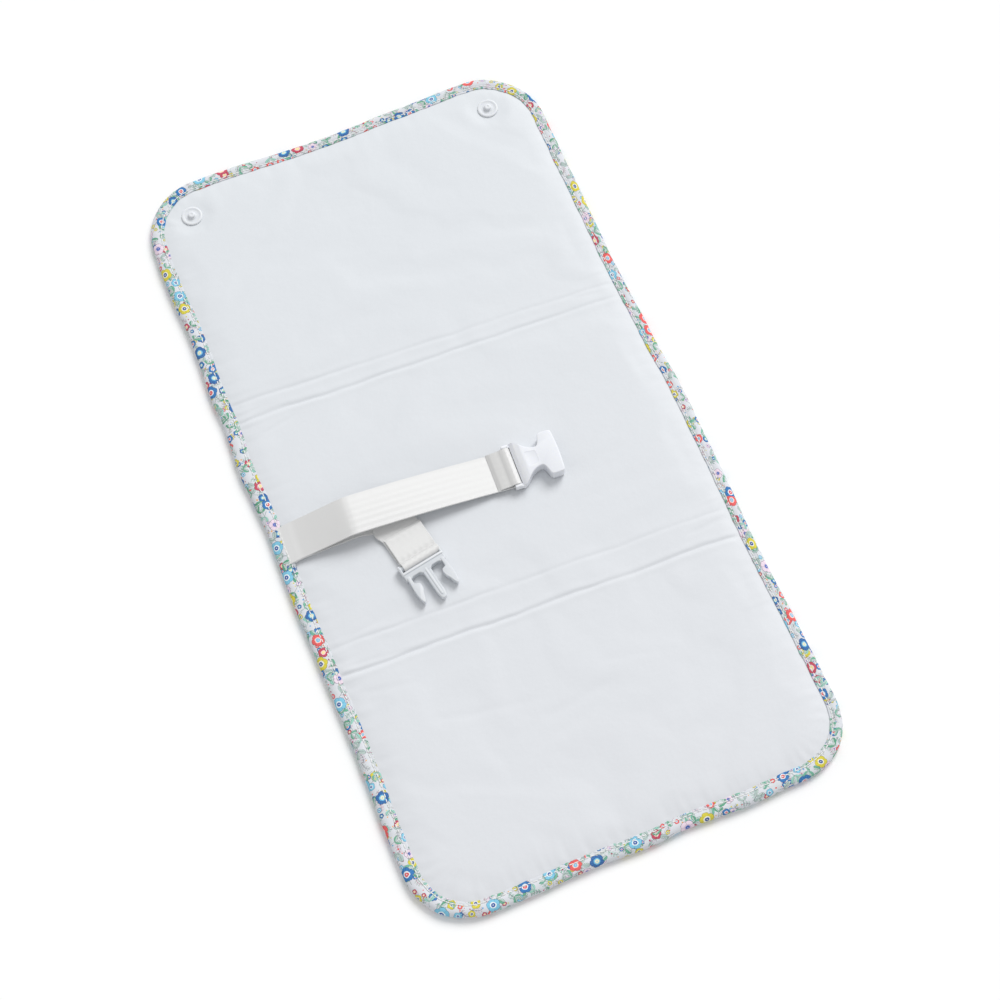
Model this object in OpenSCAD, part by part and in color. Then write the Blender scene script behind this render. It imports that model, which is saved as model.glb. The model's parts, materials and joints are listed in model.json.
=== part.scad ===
// Tri-fold changing pad, lying open with its straps on the middle panel.
// X runs across the pad, Y along it towards the snap end, Z is up.
// The origin is the middle of the underside.

/* [Pad] */
// width across the pad
pad_w = 318; // [290:1:345]
// length of the open pad
pad_l = 610; // [580:2:610]
// radius of the four outer corners
corner_r = 46; // [30:1:60]
// thickness at the bound edge
pad_t = 6; // [5.8:0.1:6.4]
// how far the padded face swells above the edge
puff = 1.6; // [0.4:0.1:1.8]
// width of the edge binding on each face
bind_w = 10.5; // [8:0.5:13]

/* [Folds] */
// distance of each fold's middle from the pad's middle
fold_y = 107.5; // [107.5:0.5:112]
// width of the lower fold strip, which becomes the gap when that panel is closed
low_gap = 24; // [23.5:0.5:24.5]

/* [Straps] */
// webbing width
strap_w = 29; // [25:1:30]
// webbing thickness
strap_t = 1.3; // [1:0.05:1.35]
// length of the long strap from seam to buckle bar
long_reach = 169; // [160:1:180]
// height of the long strap's arch above its seam
arch_h = 11.5; // [9:0.5:12.5]
// turn of the long strap from square to the seam
long_turn = -3; // [-5:0.5:-2]
// turn of the short strap's end from straight down the pad
short_turn = 10.5; // [9:0.5:13]

/* [Buckle] */
// radius of both webbing bars
bar_r = 1.9; // [1.6:0.05:2]
// thickness of the socket body
socket_t = 9.5; // [8.5:0.25:10]
// thickness of the plug frame
plug_t = 6.5; // [6.5:0.25:7]
// length of the plug's arms beyond its frame
arm_l = 21; // [20:0.5:22]

/* [Snaps] */
// distance of each snap from the pad's centre line
snap_x = 121.5; // [114:0.5:124]
// distance of each snap from the top edge
snap_in = 29; // [26:1:31]
// radius of the round snap flanges
snap_r = 7.8; // [7:0.1:8]

/* [Hidden] */
$fn = 96;

face_colour = "#e4e7ea";
fold_colour = "#dfe2e6";
wadding_colour = "#f4f4f0";
backing_colour = "#cfe0e6";
binding_colour = "#9fc3d8";
tab_colour = "#e9eae8";
buckle_colour = "#eef0f2";

// Hinge lines, from the bottom edge up
top_gap = low_gap + pad_t + 2;  // closes over the folded lower panel and the snaps
bottom_hinge = -fold_y - low_gap / 2;
middle_low_hinge = -fold_y + low_gap / 2;
middle_high_hinge = fold_y - top_gap / 2;
top_hinge = fold_y + top_gap / 2;

// Y span of each panel and fold strip, as [low, high]
far = 400;                      // beyond the pad's ends
fold_play = [0.05, -0.05];      // halves of the running gap at each fold line
bottom_span = [-far, bottom_hinge + fold_play[1]];
lower_fold_span = [bottom_hinge, middle_low_hinge] + fold_play;
middle_span = [middle_low_hinge, middle_high_hinge] + fold_play;
upper_fold_span = [middle_high_hinge, top_hinge] + fold_play;
top_span = [top_hinge + fold_play[0], far];

// Layers
cloth = 0.7;                    // thickness of binding and of the stepped cover layers
wall = 0.95;                    // inset of the layers inside the binding's outer wall
backing_top = 1.5;
face_base = pad_t - 1.7;        // underside of the face layer
step_z = pad_t - cloth;         // step where the face layer meets the binding
face_z = pad_t + puff;          // top of the padded face

// Rounded outline of the pad, drawn in by inset.
module outline(inset) {
  w = pad_w - 2 * inset;
  l = pad_l - 2 * inset;
  r = corner_r - inset;
  square([w - 2 * r, l], center = true);
  square([w, l - 2 * r], center = true);
  for (x = [-1, 1], y = [-1, 1])
    translate([x * (w / 2 - r), y * (l / 2 - r)]) circle(r);
}

// The part of the outline within a Y span, from z0 up to z1.
module slab(inset, span, z0, z1) {
  translate([0, 0, z0]) linear_extrude(z1 - z0) intersection() {
    outline(inset);
    translate([-far, span[0]]) square([2 * far, span[1] - span[0]]);
  }
}

module binding(span) {
  cut_span = span + [-1, 1];
  difference() {
    slab(0, span, 0, pad_t);
    slab(wall - 0.05, cut_span, cloth, step_z);
    slab(bind_w, cut_span, -1, pad_t + 1);
  }
}

module face(span) {
  slab(wall, span, face_base, step_z);
  slab(bind_w + 0.05, span, step_z, pad_t);
}

// Raised padded area, set in from the binding and the span's ends.
module swell(span) {
  slab(bind_w + 7, span + [8, -8], pad_t, face_z);
}

module backing(span) {
  slab(wall, span, cloth, backing_top);
  slab(bind_w + 0.05, span, 0, cloth);
}

module wadding(span) {
  slab(wall, span, backing_top, face_base);
}

// Strap seam
seam_x = -(pad_w / 2 - bind_w); // where both straps leave the binding
strap_y = -6.2;                 // middle of the straps at the seam
tab_l = 8;
pocket_l = tab_l + 0.2;
pocket_z = 2.5;
short_tab_z = 2.6;
long_tab_z = 3.95;

// Both straps' sewn-in ends sit in this pocket under the binding.
module pocket() {
  translate([seam_x - pocket_l, strap_y - strap_w / 2 - 0.3, pocket_z])
    cube([pocket_l, strap_w + 0.6, step_z - pocket_z]);
}

module end_tab(z) {
  translate([seam_x - tab_l, strap_y - strap_w / 2, z])
    cube([tab_l - 0.1, strap_w, strap_t - 0.05]);
}

// Snaps: studs on the top panel, sockets on the underside of the bottom panel
stud_y = pad_l / 2 - snap_in;
// where the studs land on the closed lower panel
mate_y = middle_low_hinge + bottom_hinge - (middle_high_hinge + top_hinge - stud_y);
post_r = 1.5;          // stud's post through the face cover
nub_r = 2.9;           // stud's central nub
washer_r = 6.5;        // stud caps and socket rings
barrel_r = 4.4;        // socket's barrel
barrel_hole_r = barrel_r + 0.15;
socket_base = 0.1;

module at_pair(y) {
  for (side = [-1, 1]) translate([side * snap_x, y, 0]) children();
}

// Middle panel
module middle_face_cover() color(face_colour) {
  difference() {
    face(middle_span);
    pocket();
  }
  swell(middle_span);
}
module middle_wadding() color(wadding_colour) difference() {
  wadding(middle_span);
  pocket();
}
module middle_backing() color(backing_colour) backing(middle_span);
module middle_binding() color(binding_colour) binding(middle_span);

// Bottom panel, cut out for the snap sockets
module bottom_face_cover() color(face_colour) {
  face(bottom_span);
  swell([-pad_l / 2, bottom_span[1]]);
}
module bottom_wadding() color(wadding_colour) difference() {
  wadding(bottom_span);
  at_pair(mate_y) cylinder(h = 3.3, r = barrel_hole_r);
  at_pair(mate_y) translate([0, 0, backing_top]) cylinder(h = 0.9, r = washer_r + 0.1);
}
module bottom_backing() color(backing_colour) difference() {
  backing(bottom_span);
  at_pair(mate_y) translate([0, 0, -1]) cylinder(h = 1.75, r = snap_r + 0.1);
  at_pair(mate_y) translate([0, 0, -1]) cylinder(h = 4, r = barrel_hole_r);
}
module bottom_binding() color(binding_colour) binding(bottom_span);

// Top panel, cut out for the snap studs; its swell stops short of their flanges
module top_face_cover() color(face_colour) difference() {
  union() {
    face(top_span);
    difference() {
      swell([top_span[0], pad_l / 2]);
      at_pair(stud_y) cylinder(h = 20, r = snap_r + 3);
    }
  }
  at_pair(stud_y) cylinder(h = 20, r = post_r + 0.1);
}
module top_wadding() color(wadding_colour) difference() {
  wadding(top_span);
  at_pair(stud_y) translate([0, 0, face_base - 1.2]) cylinder(h = 3, r = washer_r + 0.1);
}
module top_backing() color(backing_colour) backing(top_span);
module top_binding() color(binding_colour) binding(top_span);

// Fold strips
module lower_fold_face() color(fold_colour) face(lower_fold_span);
module lower_fold_wadding() color(wadding_colour) wadding(lower_fold_span);
module lower_fold_backing() color(backing_colour) backing(lower_fold_span);
module lower_fold_binding() color(binding_colour) binding(lower_fold_span);
module upper_fold_face() color(fold_colour) face(upper_fold_span);
module upper_fold_wadding() color(wadding_colour) wadding(upper_fold_span);
module upper_fold_backing() color(backing_colour) backing(upper_fold_span);
module upper_fold_binding() color(binding_colour) binding(upper_fold_span);

// Flange, raised rim, central nub and a short post through the face cover.
module snap_studs() color("#f2f3f4") at_pair(stud_y) {
  translate([0, 0, face_base]) cylinder(h = pad_t + 0.1 - face_base, r = post_r);
  difference() {
    translate([0, 0, pad_t + 0.05]) cylinder(h = 1.25, r = snap_r);
    // ring-shaped groove between rim and nub
    translate([0, 0, pad_t + 0.8]) difference() {
      cylinder(h = 2, r = snap_r - 1.6);
      translate([0, 0, -1]) cylinder(h = 4, r = nub_r + 0.7);
    }
  }
  translate([0, 0, pad_t + 1]) cylinder(h = 3.2, r = nub_r);
}
module snap_stud_caps() color("#e6e7e9") at_pair(stud_y)
  translate([0, 0, face_base - 1.15]) cylinder(h = 1.15, r = washer_r);

// Flange and barrel, bored from below.
module snap_sockets() color("#f2f3f4") at_pair(mate_y) difference() {
  union() {
    translate([0, 0, socket_base]) cylinder(h = 0.6, r = snap_r);
    translate([0, 0, socket_base]) cylinder(h = 3.1, r = barrel_r);
  }
  translate([0, 0, -1]) cylinder(h = 3.6, r = nub_r + 0.1);
}
module snap_socket_rings() color("#e6e7e9") at_pair(mate_y) difference() {
  translate([0, 0, backing_top]) cylinder(h = 0.85, r = washer_r);
  cylinder(h = 6, r = barrel_r + 0.05);
}

// Straps and buckle: shared sizes and places
strap_half = strap_w / 2;
slot_w = strap_w + 0.6;
slot_half = slot_w / 2;
loop_r = bar_r + 0.05;          // inside of the webbing round a bar
wrap_r = loop_r + strap_t;      // outside of it
rest_z = face_z + 0.1;          // underside of whatever lies on the padding
short_seam_z = pad_t + 0.1;     // underside of the short webbing at the seam
long_seam_z = short_seam_z + strap_t + 0.2;
socket_drop = 3.9;              // depth of the socket body below its bar
socket_z = rest_z + socket_drop;
plug_x = -66.5;
plug_y = -54.5;
plug_z = rest_z + plug_t / 2;

// Local frames: X runs along the strap, away from the seam. The origin is the
// seam on the underside's level for the long strap, and the bar for the buckle.
module at_long() {
  translate([seam_x, strap_y, 0]) rotate([0, 0, long_turn]) children();
}
module at_socket() {
  at_long() translate([long_reach, 0, socket_z]) children();
}
module at_plug() {
  translate([plug_x, plug_y, plug_z]) rotate([0, 0, short_turn - 90]) children();
}

// A profile drawn along the strap in X and Z, extruded across its width.
module along(width) {
  translate([0, width / 2, 0]) rotate([90, 0, 0]) linear_extrude(width) children();
}
// A band of even height through a list of points on its underside.
module band(under) {
  polygon(concat(under,
    [for (i = [len(under) - 1:-1:0]) [under[i][0], under[i][1] + strap_t]]));
}

// Long webbing
long_wrap_z = socket_z - wrap_r;  // underside where it meets the socket's bar
// underside of the arch, as [x, z]; it starts just clear of the seam line
long_arch = [
  [1.5, long_seam_z], [7, long_seam_z + 1.9], [32, long_seam_z + arch_h * 0.72],
  [53, long_seam_z + arch_h], [75, long_seam_z + arch_h * 0.94],
  [long_reach - 45, long_seam_z + arch_h * 0.5],
  [long_reach - 14, long_wrap_z + 1.3], [long_reach, long_wrap_z]
];
// underside of the end turned back over the bar, as [x, z]
long_return = [
  [long_reach - 19, long_wrap_z + strap_t + 2],
  [long_reach - 8, long_wrap_z + strap_t + 2.6],
  [long_reach, long_wrap_z + 2 * wrap_r - strap_t]
];

module long_webbing() color("#f1f2f0") at_long() along(strap_w) difference() {
  union() {
    band(long_arch);
    band(long_return);
    // joins the turned-back end to the run below
    translate([long_reach - 19, long_wrap_z + strap_t + 1.5]) square([6, 0.8]);
    translate([long_reach, socket_z]) circle(wrap_r);
  }
  translate([long_reach, socket_z]) circle(loop_r);
}
module long_webbing_end() color(tab_colour) end_tab(long_tab_z);

// Short webbing: underlying run, diagonal turn and the leg to the plug's bar
leg_l = (strap_y - plug_y) / cos(short_turn);
turn_x = plug_x - leg_l * sin(short_turn);  // where leg and run centre lines cross
crease_angle = (90 - short_turn) / 2;
crease_high_x = turn_x - strap_half / tan(crease_angle);  // at the run's +Y edge
crease_low_x = turn_x + strap_half / tan(crease_angle);   // at its -Y edge
leg_start = -30;                // where the flat part hands over to the bar's loop

// Plan position of a point in the plug's frame.
function plug_point(x, y) = [
  plug_x + x * sin(short_turn) + y * cos(short_turn),
  plug_y - x * cos(short_turn) + y * sin(short_turn)
];

// undersides in the plug's frame, as [x, pad z]
leg_under = [
  [-32, rest_z + strap_t], [-27, rest_z + strap_t], [-16, rest_z + 0.05],
  [0, plug_z - wrap_r]
];
leg_return = [
  [-27, rest_z + 2 * strap_t + 0.15], [-18, rest_z + 2.1], [-8, rest_z + 1.75],
  [-4.6, rest_z + 2.7], [-2.2, rest_z + 4.5], [0, plug_z + wrap_r - strap_t]
];

module short_run() {
  translate([0, strap_y, 0]) along(strap_w)
    band([[seam_x + 0.2, short_seam_z], [seam_x + 3.4, short_seam_z],
          [seam_x + 6.9, rest_z], [crease_high_x - 4, rest_z]]);
  translate([0, 0, rest_z]) linear_extrude(strap_t) polygon([
    [crease_high_x - 6, strap_y - strap_half], [crease_high_x - 6, strap_y + strap_half],
    [crease_high_x, strap_y + strap_half], [crease_low_x, strap_y - strap_half]]);
}

// Starts below the run's top, so that the two layers join.
module short_turned_leg() {
  translate([0, 0, rest_z + 0.6]) linear_extrude(2 * strap_t - 0.6) polygon([
    [crease_high_x + 0.4, strap_y + strap_half - 0.3],
    [crease_low_x - 0.6, strap_y - strap_half + 0.1],
    plug_point(leg_start, strap_half), plug_point(leg_start, -strap_half)]);
}

module short_loop() {
  at_plug() along(strap_w) difference() {
    union() {
      translate([0, -plug_z]) {
        band(leg_under);
        band(leg_return);
        // joins the turned-back end to the leg below
        translate([-27, rest_z + 2 * strap_t - 0.3]) square([2.5, 0.7]);
      }
      circle(wrap_r);
    }
    circle(loop_r);
  }
}

module short_webbing() color("#eceDEA") {
  short_run();
  short_turned_leg();
  short_loop();
}
module short_webbing_end() color(tab_colour) end_tab(short_tab_z);

// Both buckle halves: webbing bar, and the two cheeks that hold it
module webbing_bar() {
  along(slot_w + 2) circle(bar_r);
}
module cheeks(behind, width, below, height) {
  for (side = [-1, 1])
    translate([-behind, side * (slot_half + width / 2) - width / 2, -below])
      cube([8, width, height]);
}

// Socket half of the side-release buckle
socket_front = 35.5;
socket_wall = 1.8;              // above and below the hollow
// half outline from the bar side to the mouth, as [x, y]
socket_outline = [
  [wrap_r + 0.5, 0], [wrap_r + 0.5, slot_half + 2.5], [6.5, slot_half + 1.8],
  [9.5, slot_half - 0.8], [12.5, slot_half - 3.8], [15.5, slot_half - 5.8],
  [19, slot_half - 7], [22, slot_half - 7.2], [23.2, slot_half - 5.3],
  [24.2, slot_half - 2], [25.2, slot_half + 1.2], [26.8, slot_half + 2.2],
  [socket_front - 1.5, slot_half + 2.2], [socket_front, slot_half + 1.4],
  [socket_front, 0]
];

// Hollow from x to beyond the mouth.
module socket_hollow(x, length, half_width) {
  translate([x, -half_width, socket_wall - socket_drop])
    cube([length, 2 * half_width, socket_t - 2 * socket_wall]);
}

module buckle_socket() color(buckle_colour) at_socket() {
  webbing_bar();
  difference() {
    union() {
      cheeks(behind = 2.6, width = 2.7, below = 2.6, height = 5.2);
      translate([0, 0, -socket_drop]) linear_extrude(socket_t)
        for (flip = [0, 1]) mirror([0, flip]) polygon(socket_outline);
    }
    socket_hollow(12, 30, 6.2);
    socket_hollow(27, 12, slot_half + 0.6);
  }
}

// Plug half: bar, cheeks, cross block and the central guide prong
arm_root_x = 9.5;               // the arms' roots, from the bar
arm_root_y = slot_half - 0.9;   // and from the centre line
arm_root_r = 1.6;
block_x = wrap_r + 0.6;
prong_x = arm_root_x - 1;
prong_l = arm_l + 2.4;
prong_r = 3.1;                  // half its width, and its round tip
prong_z = -plug_t / 2 + 1;
rib_w = 1.6;

module guide_prong() {
  translate([prong_x, -prong_r, prong_z]) cube([prong_l, 2 * prong_r, plug_t - 2]);
  translate([prong_x, -rib_w / 2, prong_z]) cube([arm_l, rib_w, plug_t - 1.2]);
  translate([prong_x + prong_l, 0, prong_z]) cylinder(h = plug_t - 2, r = prong_r);
}

module buckle_plug_frame() color(buckle_colour) at_plug() {
  webbing_bar();
  cheeks(behind = 2.4, width = 1.7, below = 2.2, height = plug_t / 2 + 2.2);
  difference() {
    translate([block_x, -slot_half - 1.7, -plug_t / 2])
      cube([arm_root_x - block_x, slot_w + 3.4, plug_t]);
    for (side = [-1, 1])
      translate([arm_root_x, side * arm_root_y, -plug_t])
        cylinder(h = 2 * plug_t, r = arm_root_r + 0.1);
  }
  guide_prong();
}

// neck, barb and tip of the +Y arm from its root, as [x, y]
arm_outline = [
  [0, -1.2], [6.5, -1.1], [7.2, -4.6], [9.5, -5.6], [arm_l - 4, -4.4],
  [arm_l - 0.8, -2.4], [arm_l, -0.9], [arm_l - 2.5, 0.9], [arm_l - 8, 2.2],
  [8, 2.4], [0, 1.2]
];

// A side arm: round root, thin neck, barbed head tapering to its tip.
module arm() {
  translate([arm_root_x, arm_root_y, -plug_t / 2 + 0.5]) linear_extrude(plug_t - 1) {
    circle(arm_root_r);
    polygon(arm_outline);
  }
}
module plug_arm_right() color(buckle_colour) at_plug() arm();
module plug_arm_left() color(buckle_colour) at_plug() mirror([0, 1, 0]) arm();

middle_face_cover();
middle_wadding();
middle_backing();
middle_binding();
bottom_face_cover();
bottom_wadding();
bottom_backing();
bottom_binding();
top_face_cover();
top_wadding();
top_backing();
top_binding();
lower_fold_face();
lower_fold_wadding();
lower_fold_backing();
lower_fold_binding();
upper_fold_face();
upper_fold_wadding();
upper_fold_backing();
upper_fold_binding();
snap_studs();
snap_stud_caps();
snap_sockets();
snap_socket_rings();
long_webbing();
long_webbing_end();
short_webbing();
short_webbing_end();
buckle_socket();
buckle_plug_frame();
plug_arm_left();
plug_arm_right();
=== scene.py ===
"""A padded mat of three panels joined by two folds, laid open with its padded face up.

X runs across the mat, Y from the lower panel to the upper one, and the underside lies on z = 0.
Two webbing straps leave a seam on the -X side and carry the halves of a side-release buckle.
Lengths are in millimetres, and meshes are turned into metres as they are made.
"""
import json
import math
from collections import namedtuple

import bmesh
import bpy
import numpy as np
from mathutils import Matrix, Vector


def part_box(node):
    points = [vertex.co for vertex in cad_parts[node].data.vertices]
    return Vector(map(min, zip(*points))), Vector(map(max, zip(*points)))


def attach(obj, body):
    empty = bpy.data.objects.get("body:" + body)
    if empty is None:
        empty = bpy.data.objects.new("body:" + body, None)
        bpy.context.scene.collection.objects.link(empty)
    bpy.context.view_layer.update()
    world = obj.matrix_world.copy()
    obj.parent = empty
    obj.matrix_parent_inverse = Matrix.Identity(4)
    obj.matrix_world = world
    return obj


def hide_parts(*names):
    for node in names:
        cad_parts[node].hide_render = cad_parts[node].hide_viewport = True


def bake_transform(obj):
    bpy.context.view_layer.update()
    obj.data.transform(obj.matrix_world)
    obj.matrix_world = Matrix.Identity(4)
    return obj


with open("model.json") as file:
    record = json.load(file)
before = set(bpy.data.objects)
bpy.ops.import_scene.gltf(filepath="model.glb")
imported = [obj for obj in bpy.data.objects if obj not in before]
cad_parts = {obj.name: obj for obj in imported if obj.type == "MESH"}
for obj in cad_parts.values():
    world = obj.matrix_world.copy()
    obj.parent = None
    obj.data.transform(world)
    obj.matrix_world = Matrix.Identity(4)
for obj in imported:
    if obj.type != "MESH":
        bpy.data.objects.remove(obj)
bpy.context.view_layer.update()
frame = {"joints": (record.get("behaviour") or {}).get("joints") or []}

MM = 0.001
scene = bpy.context.scene


# ---------------------------------------------------------------- measures read from the frame
def box_mm(piece):
    low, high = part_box(piece)
    return np.array(low) * 1000, np.array(high) * 1000


JOINTS = {joint["name"]: joint for joint in frame["joints"]}


def joint_mm(name):
    return np.array(JOINTS[name]["pos_m"]) * 1000


BINDING_LOW, BINDING_HIGH = box_mm("bottom_binding")
HALF_WIDTH = (BINDING_HIGH[0] - BINDING_LOW[0]) / 2
HALF_LENGTH = (box_mm("top_binding")[1][1] - BINDING_LOW[1]) / 2
CORNER_RADIUS = 46.0
EDGE_TOP = BINDING_HIGH[2]                      # thickness at the edge
FACE_TOP = box_mm("middle_face_cover")[1][2]    # top of the padding

HINGE_GAP = 0.05                                # from a fold piece to its hinge line


def hinge_lines(fold_face):
    low, high = box_mm(fold_face)
    return low[1] - HINGE_GAP, high[1] + HINGE_GAP


LOWER_OUTER, LOWER_INNER = hinge_lines("lower_fold_face")
UPPER_INNER, UPPER_OUTER = hinge_lines("upper_fold_face")
# lines that split the soft pieces, each inside one rigid body
LOWER_SPLIT = (LOWER_OUTER + LOWER_INNER) / 2
MIDDLE_SPLIT = 0.0
UPPER_SPLIT = (UPPER_INNER + UPPER_OUTER) / 2

SEAM_X, STRAP_Y = joint_mm("long_strap_swing")[:2]
SOCKET_BAR = joint_mm("socket_tilt")
PLUG_BAR = joint_mm("plug_tilt")
PLUG_AXIS = np.array(JOINTS["plug_tilt"]["axis"])

SNAP_RADIUS = 7.8


def snap_place(piece):
    """Distance of a pair of snaps from the middle line, and their y."""
    low, high = box_mm(piece)
    return (high[0] - low[0]) / 2 - SNAP_RADIUS, (low[1] + high[1]) / 2


STUD_X, STUD_Y = snap_place("snap_studs")
RECESS_X, RECESS_Y = snap_place("snap_sockets")


# ---------------------------------------------------------------- noise and curves
def hash_grid(ix, iy, seed):
    h = ix.astype(np.int64) * 374761393 + iy.astype(np.int64) * 668265263 + seed * 974634777
    h = h & 0xFFFFFFFF
    h = ((h ^ (h >> 13)) * 1274126177) & 0xFFFFFFFF
    return (h ^ (h >> 16)) / 4294967296.0


def noise(x, y, seed, cell=1.0):
    """Smooth seeded noise in about -1..1."""
    x = np.asarray(x, float) / cell
    y = np.asarray(y, float) / cell
    ix, iy = np.floor(x), np.floor(y)
    fx, fy = x - ix, y - iy
    blend_x = fx * fx * fx * (fx * (fx * 6 - 15) + 10)
    blend_y = fy * fy * fy * (fy * (fy * 6 - 15) + 10)
    total = 0
    for dx in (0, 1):
        for dy in (0, 1):
            angle = hash_grid(ix + dx, iy + dy, seed) * 2 * math.pi
            slope = np.cos(angle) * (fx - dx) + np.sin(angle) * (fy - dy)
            total = total + (slope * (blend_x if dx else 1 - blend_x)
                             * (blend_y if dy else 1 - blend_y))
    return total * 1.5


def smooth(start, end, t):
    """0 before start, 1 after end and an S-curve between."""
    t = np.clip((np.asarray(t, float) - start) / (end - start), 0, 1)
    return t * t * (3 - 2 * t)


def curve_at(points, t):
    """Smooth curve through (place, value) points in rising order of place."""
    places, values = np.array(points, float).T
    t = np.clip(t, places[0], places[-1])
    i = np.clip(np.searchsorted(places, t) - 1, 0, len(places) - 2)
    weight = (t - places[i]) / (places[i + 1] - places[i])
    weight = weight * weight * (3 - 2 * weight)
    return values[i] * (1 - weight) + values[i + 1] * weight


def smooth_path(points, step):
    """Catmull-Rom through the points, resampled evenly, with the distance run at each sample."""
    p = np.array(points, float)
    p = np.vstack([2 * p[0] - p[1], p, 2 * p[-1] - p[-2]])
    t = np.linspace(0, 1, 40, endpoint=False)[:, None]
    spans = []
    for a, b, c, d in zip(p[:-3], p[1:-2], p[2:-1], p[3:]):
        spans.append(0.5 * (2 * b + (c - a) * t + (2 * a - 5 * b + 4 * c - d) * t ** 2
                            + (3 * b - a - 3 * c + d) * t ** 3))
    dense = np.vstack(spans + [p[-2][None]])
    run = np.concatenate([[0], np.cumsum(np.linalg.norm(np.diff(dense, axis=0), axis=1))])
    even = np.linspace(0, run[-1], max(2, int(run[-1] / step)) + 1)
    return np.stack([np.interp(even, run, dense[:, k]) for k in range(dense.shape[1])], 1), even


# ---------------------------------------------------------------- outline of the mat
def outline_at(x, y):
    """Inset from the outline, the nearest point on it and the outward direction there."""
    x, y = np.asarray(x, float), np.asarray(y, float)
    ax, ay = np.abs(x), np.abs(y)
    sign_x, sign_y = np.where(x < 0, -1.0, 1.0), np.where(y < 0, -1.0, 1.0)
    qx, qy = ax - (HALF_WIDTH - CORNER_RADIUS), ay - (HALF_LENGTH - CORNER_RADIUS)
    corner = (qx > 0) & (qy > 0)
    reach = np.maximum(np.hypot(qx, qy), 1e-6)
    gap_x, gap_y = HALF_WIDTH - ax, HALF_LENGTH - ay
    side = gap_x < gap_y
    inset = np.where(corner, CORNER_RADIUS - reach, np.where(side, gap_x, gap_y))
    out_x = np.where(corner, sign_x * qx / reach, np.where(side, sign_x, 0.0))
    out_y = np.where(corner, sign_y * qy / reach, np.where(side, 0.0, sign_y))
    return inset, x + out_x * inset, y + out_y * inset, out_x, out_y


# how far each side bows outwards: (place along the side, bow)
RIGHT_BOW = [(-290, 0), (-252, .1), (-200, .1), (-140, -.9), (-60, 1.1), (0, 1.8), (50, -.4),
             (110, -1.5), (200, 0), (253, 1.0), (290, .6)]
LEFT_BOW = [(-290, 0), (-228, .5), (-165, -.7), (-100, 0), (-40, .6), (8, -.9), (62, 1.6),
            (100, -.4), (120, .6), (180, -1.5), (225, .2), (290, -1.2)]
TOP_BOW = [(-150, .6), (-100, 1.5), (-5, -2.0), (60, .1), (110, 1.6), (150, .8)]
BOTTOM_BOW = [(-150, -1.2), (-92, -.8), (-40, -2.4), (0, -1.0), (30, -2.6), (75, -.8),
              (112, -2.4), (150, -1.3)]


def bow_outline(points):
    """Moves points with the uneven soft outline, less and less away from it."""
    inset, edge_x, edge_y, out_x, out_y = outline_at(points[..., 0], points[..., 1])
    side = np.where(out_x > 0, curve_at(RIGHT_BOW, edge_y), curve_at(LEFT_BOW, edge_y))
    end = np.where(out_y > 0, curve_at(TOP_BOW, edge_x), curve_at(BOTTOM_BOW, edge_x))
    bow = np.where(np.abs(out_x) > np.abs(out_y), side, end)
    bow = bow * np.abs(out_x * out_x - out_y * out_y) + 0.35 * noise(edge_x, edge_y, 5, cell=17)
    bow = bow * np.exp(-np.maximum(inset, 0) / 40.0)
    bowed = points.copy()
    bowed[..., 0] += out_x * bow
    bowed[..., 1] += out_y * bow
    return bowed


# ---------------------------------------------------------------- meshes
def unit(vectors):
    return vectors / np.maximum(np.linalg.norm(vectors, axis=-1), 1e-9)[..., None]


def add_object(name, mesh):
    piece = bpy.data.objects.new(name, mesh)
    scene.collection.objects.link(piece)
    return piece


def mesh_object(name, verts, faces, uv, material, normals=None, sharp=None):
    """Smooth-shaded object. uv holds one pair for each vertex, sharp is in degrees."""
    mesh = bpy.data.meshes.new(name)
    mesh.from_pydata((np.asarray(verts) * MM).tolist(), [], [tuple(face) for face in faces])
    mesh.polygons.foreach_set("use_smooth", np.ones(len(mesh.polygons), bool))
    layer = mesh.uv_layers.new(name="mm")
    corner_verts = np.zeros(len(mesh.loops), np.int32)
    mesh.loops.foreach_get("vertex_index", corner_verts)
    layer.data.foreach_set("uv", (np.asarray(uv)[corner_verts] * 0.01).astype(np.float32).ravel())
    mesh.validate()
    if sharp is not None:
        mesh.set_sharp_from_angle(angle=math.radians(sharp))
    if normals is not None:
        mesh.normals_split_custom_set_from_vertices(unit(np.asarray(normals, float)).tolist())
    piece = add_object(name, mesh)
    mesh.materials.append(material)
    return piece


def turn_faces_out(piece):
    bm = bmesh.new()
    bm.from_mesh(piece.data)
    bmesh.ops.recalc_face_normals(bm, faces=bm.faces)
    bm.to_mesh(piece.data)
    bm.free()


def grid_normals(points):
    return unit(np.cross(np.gradient(points, axis=1), np.gradient(points, axis=0)))


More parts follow.
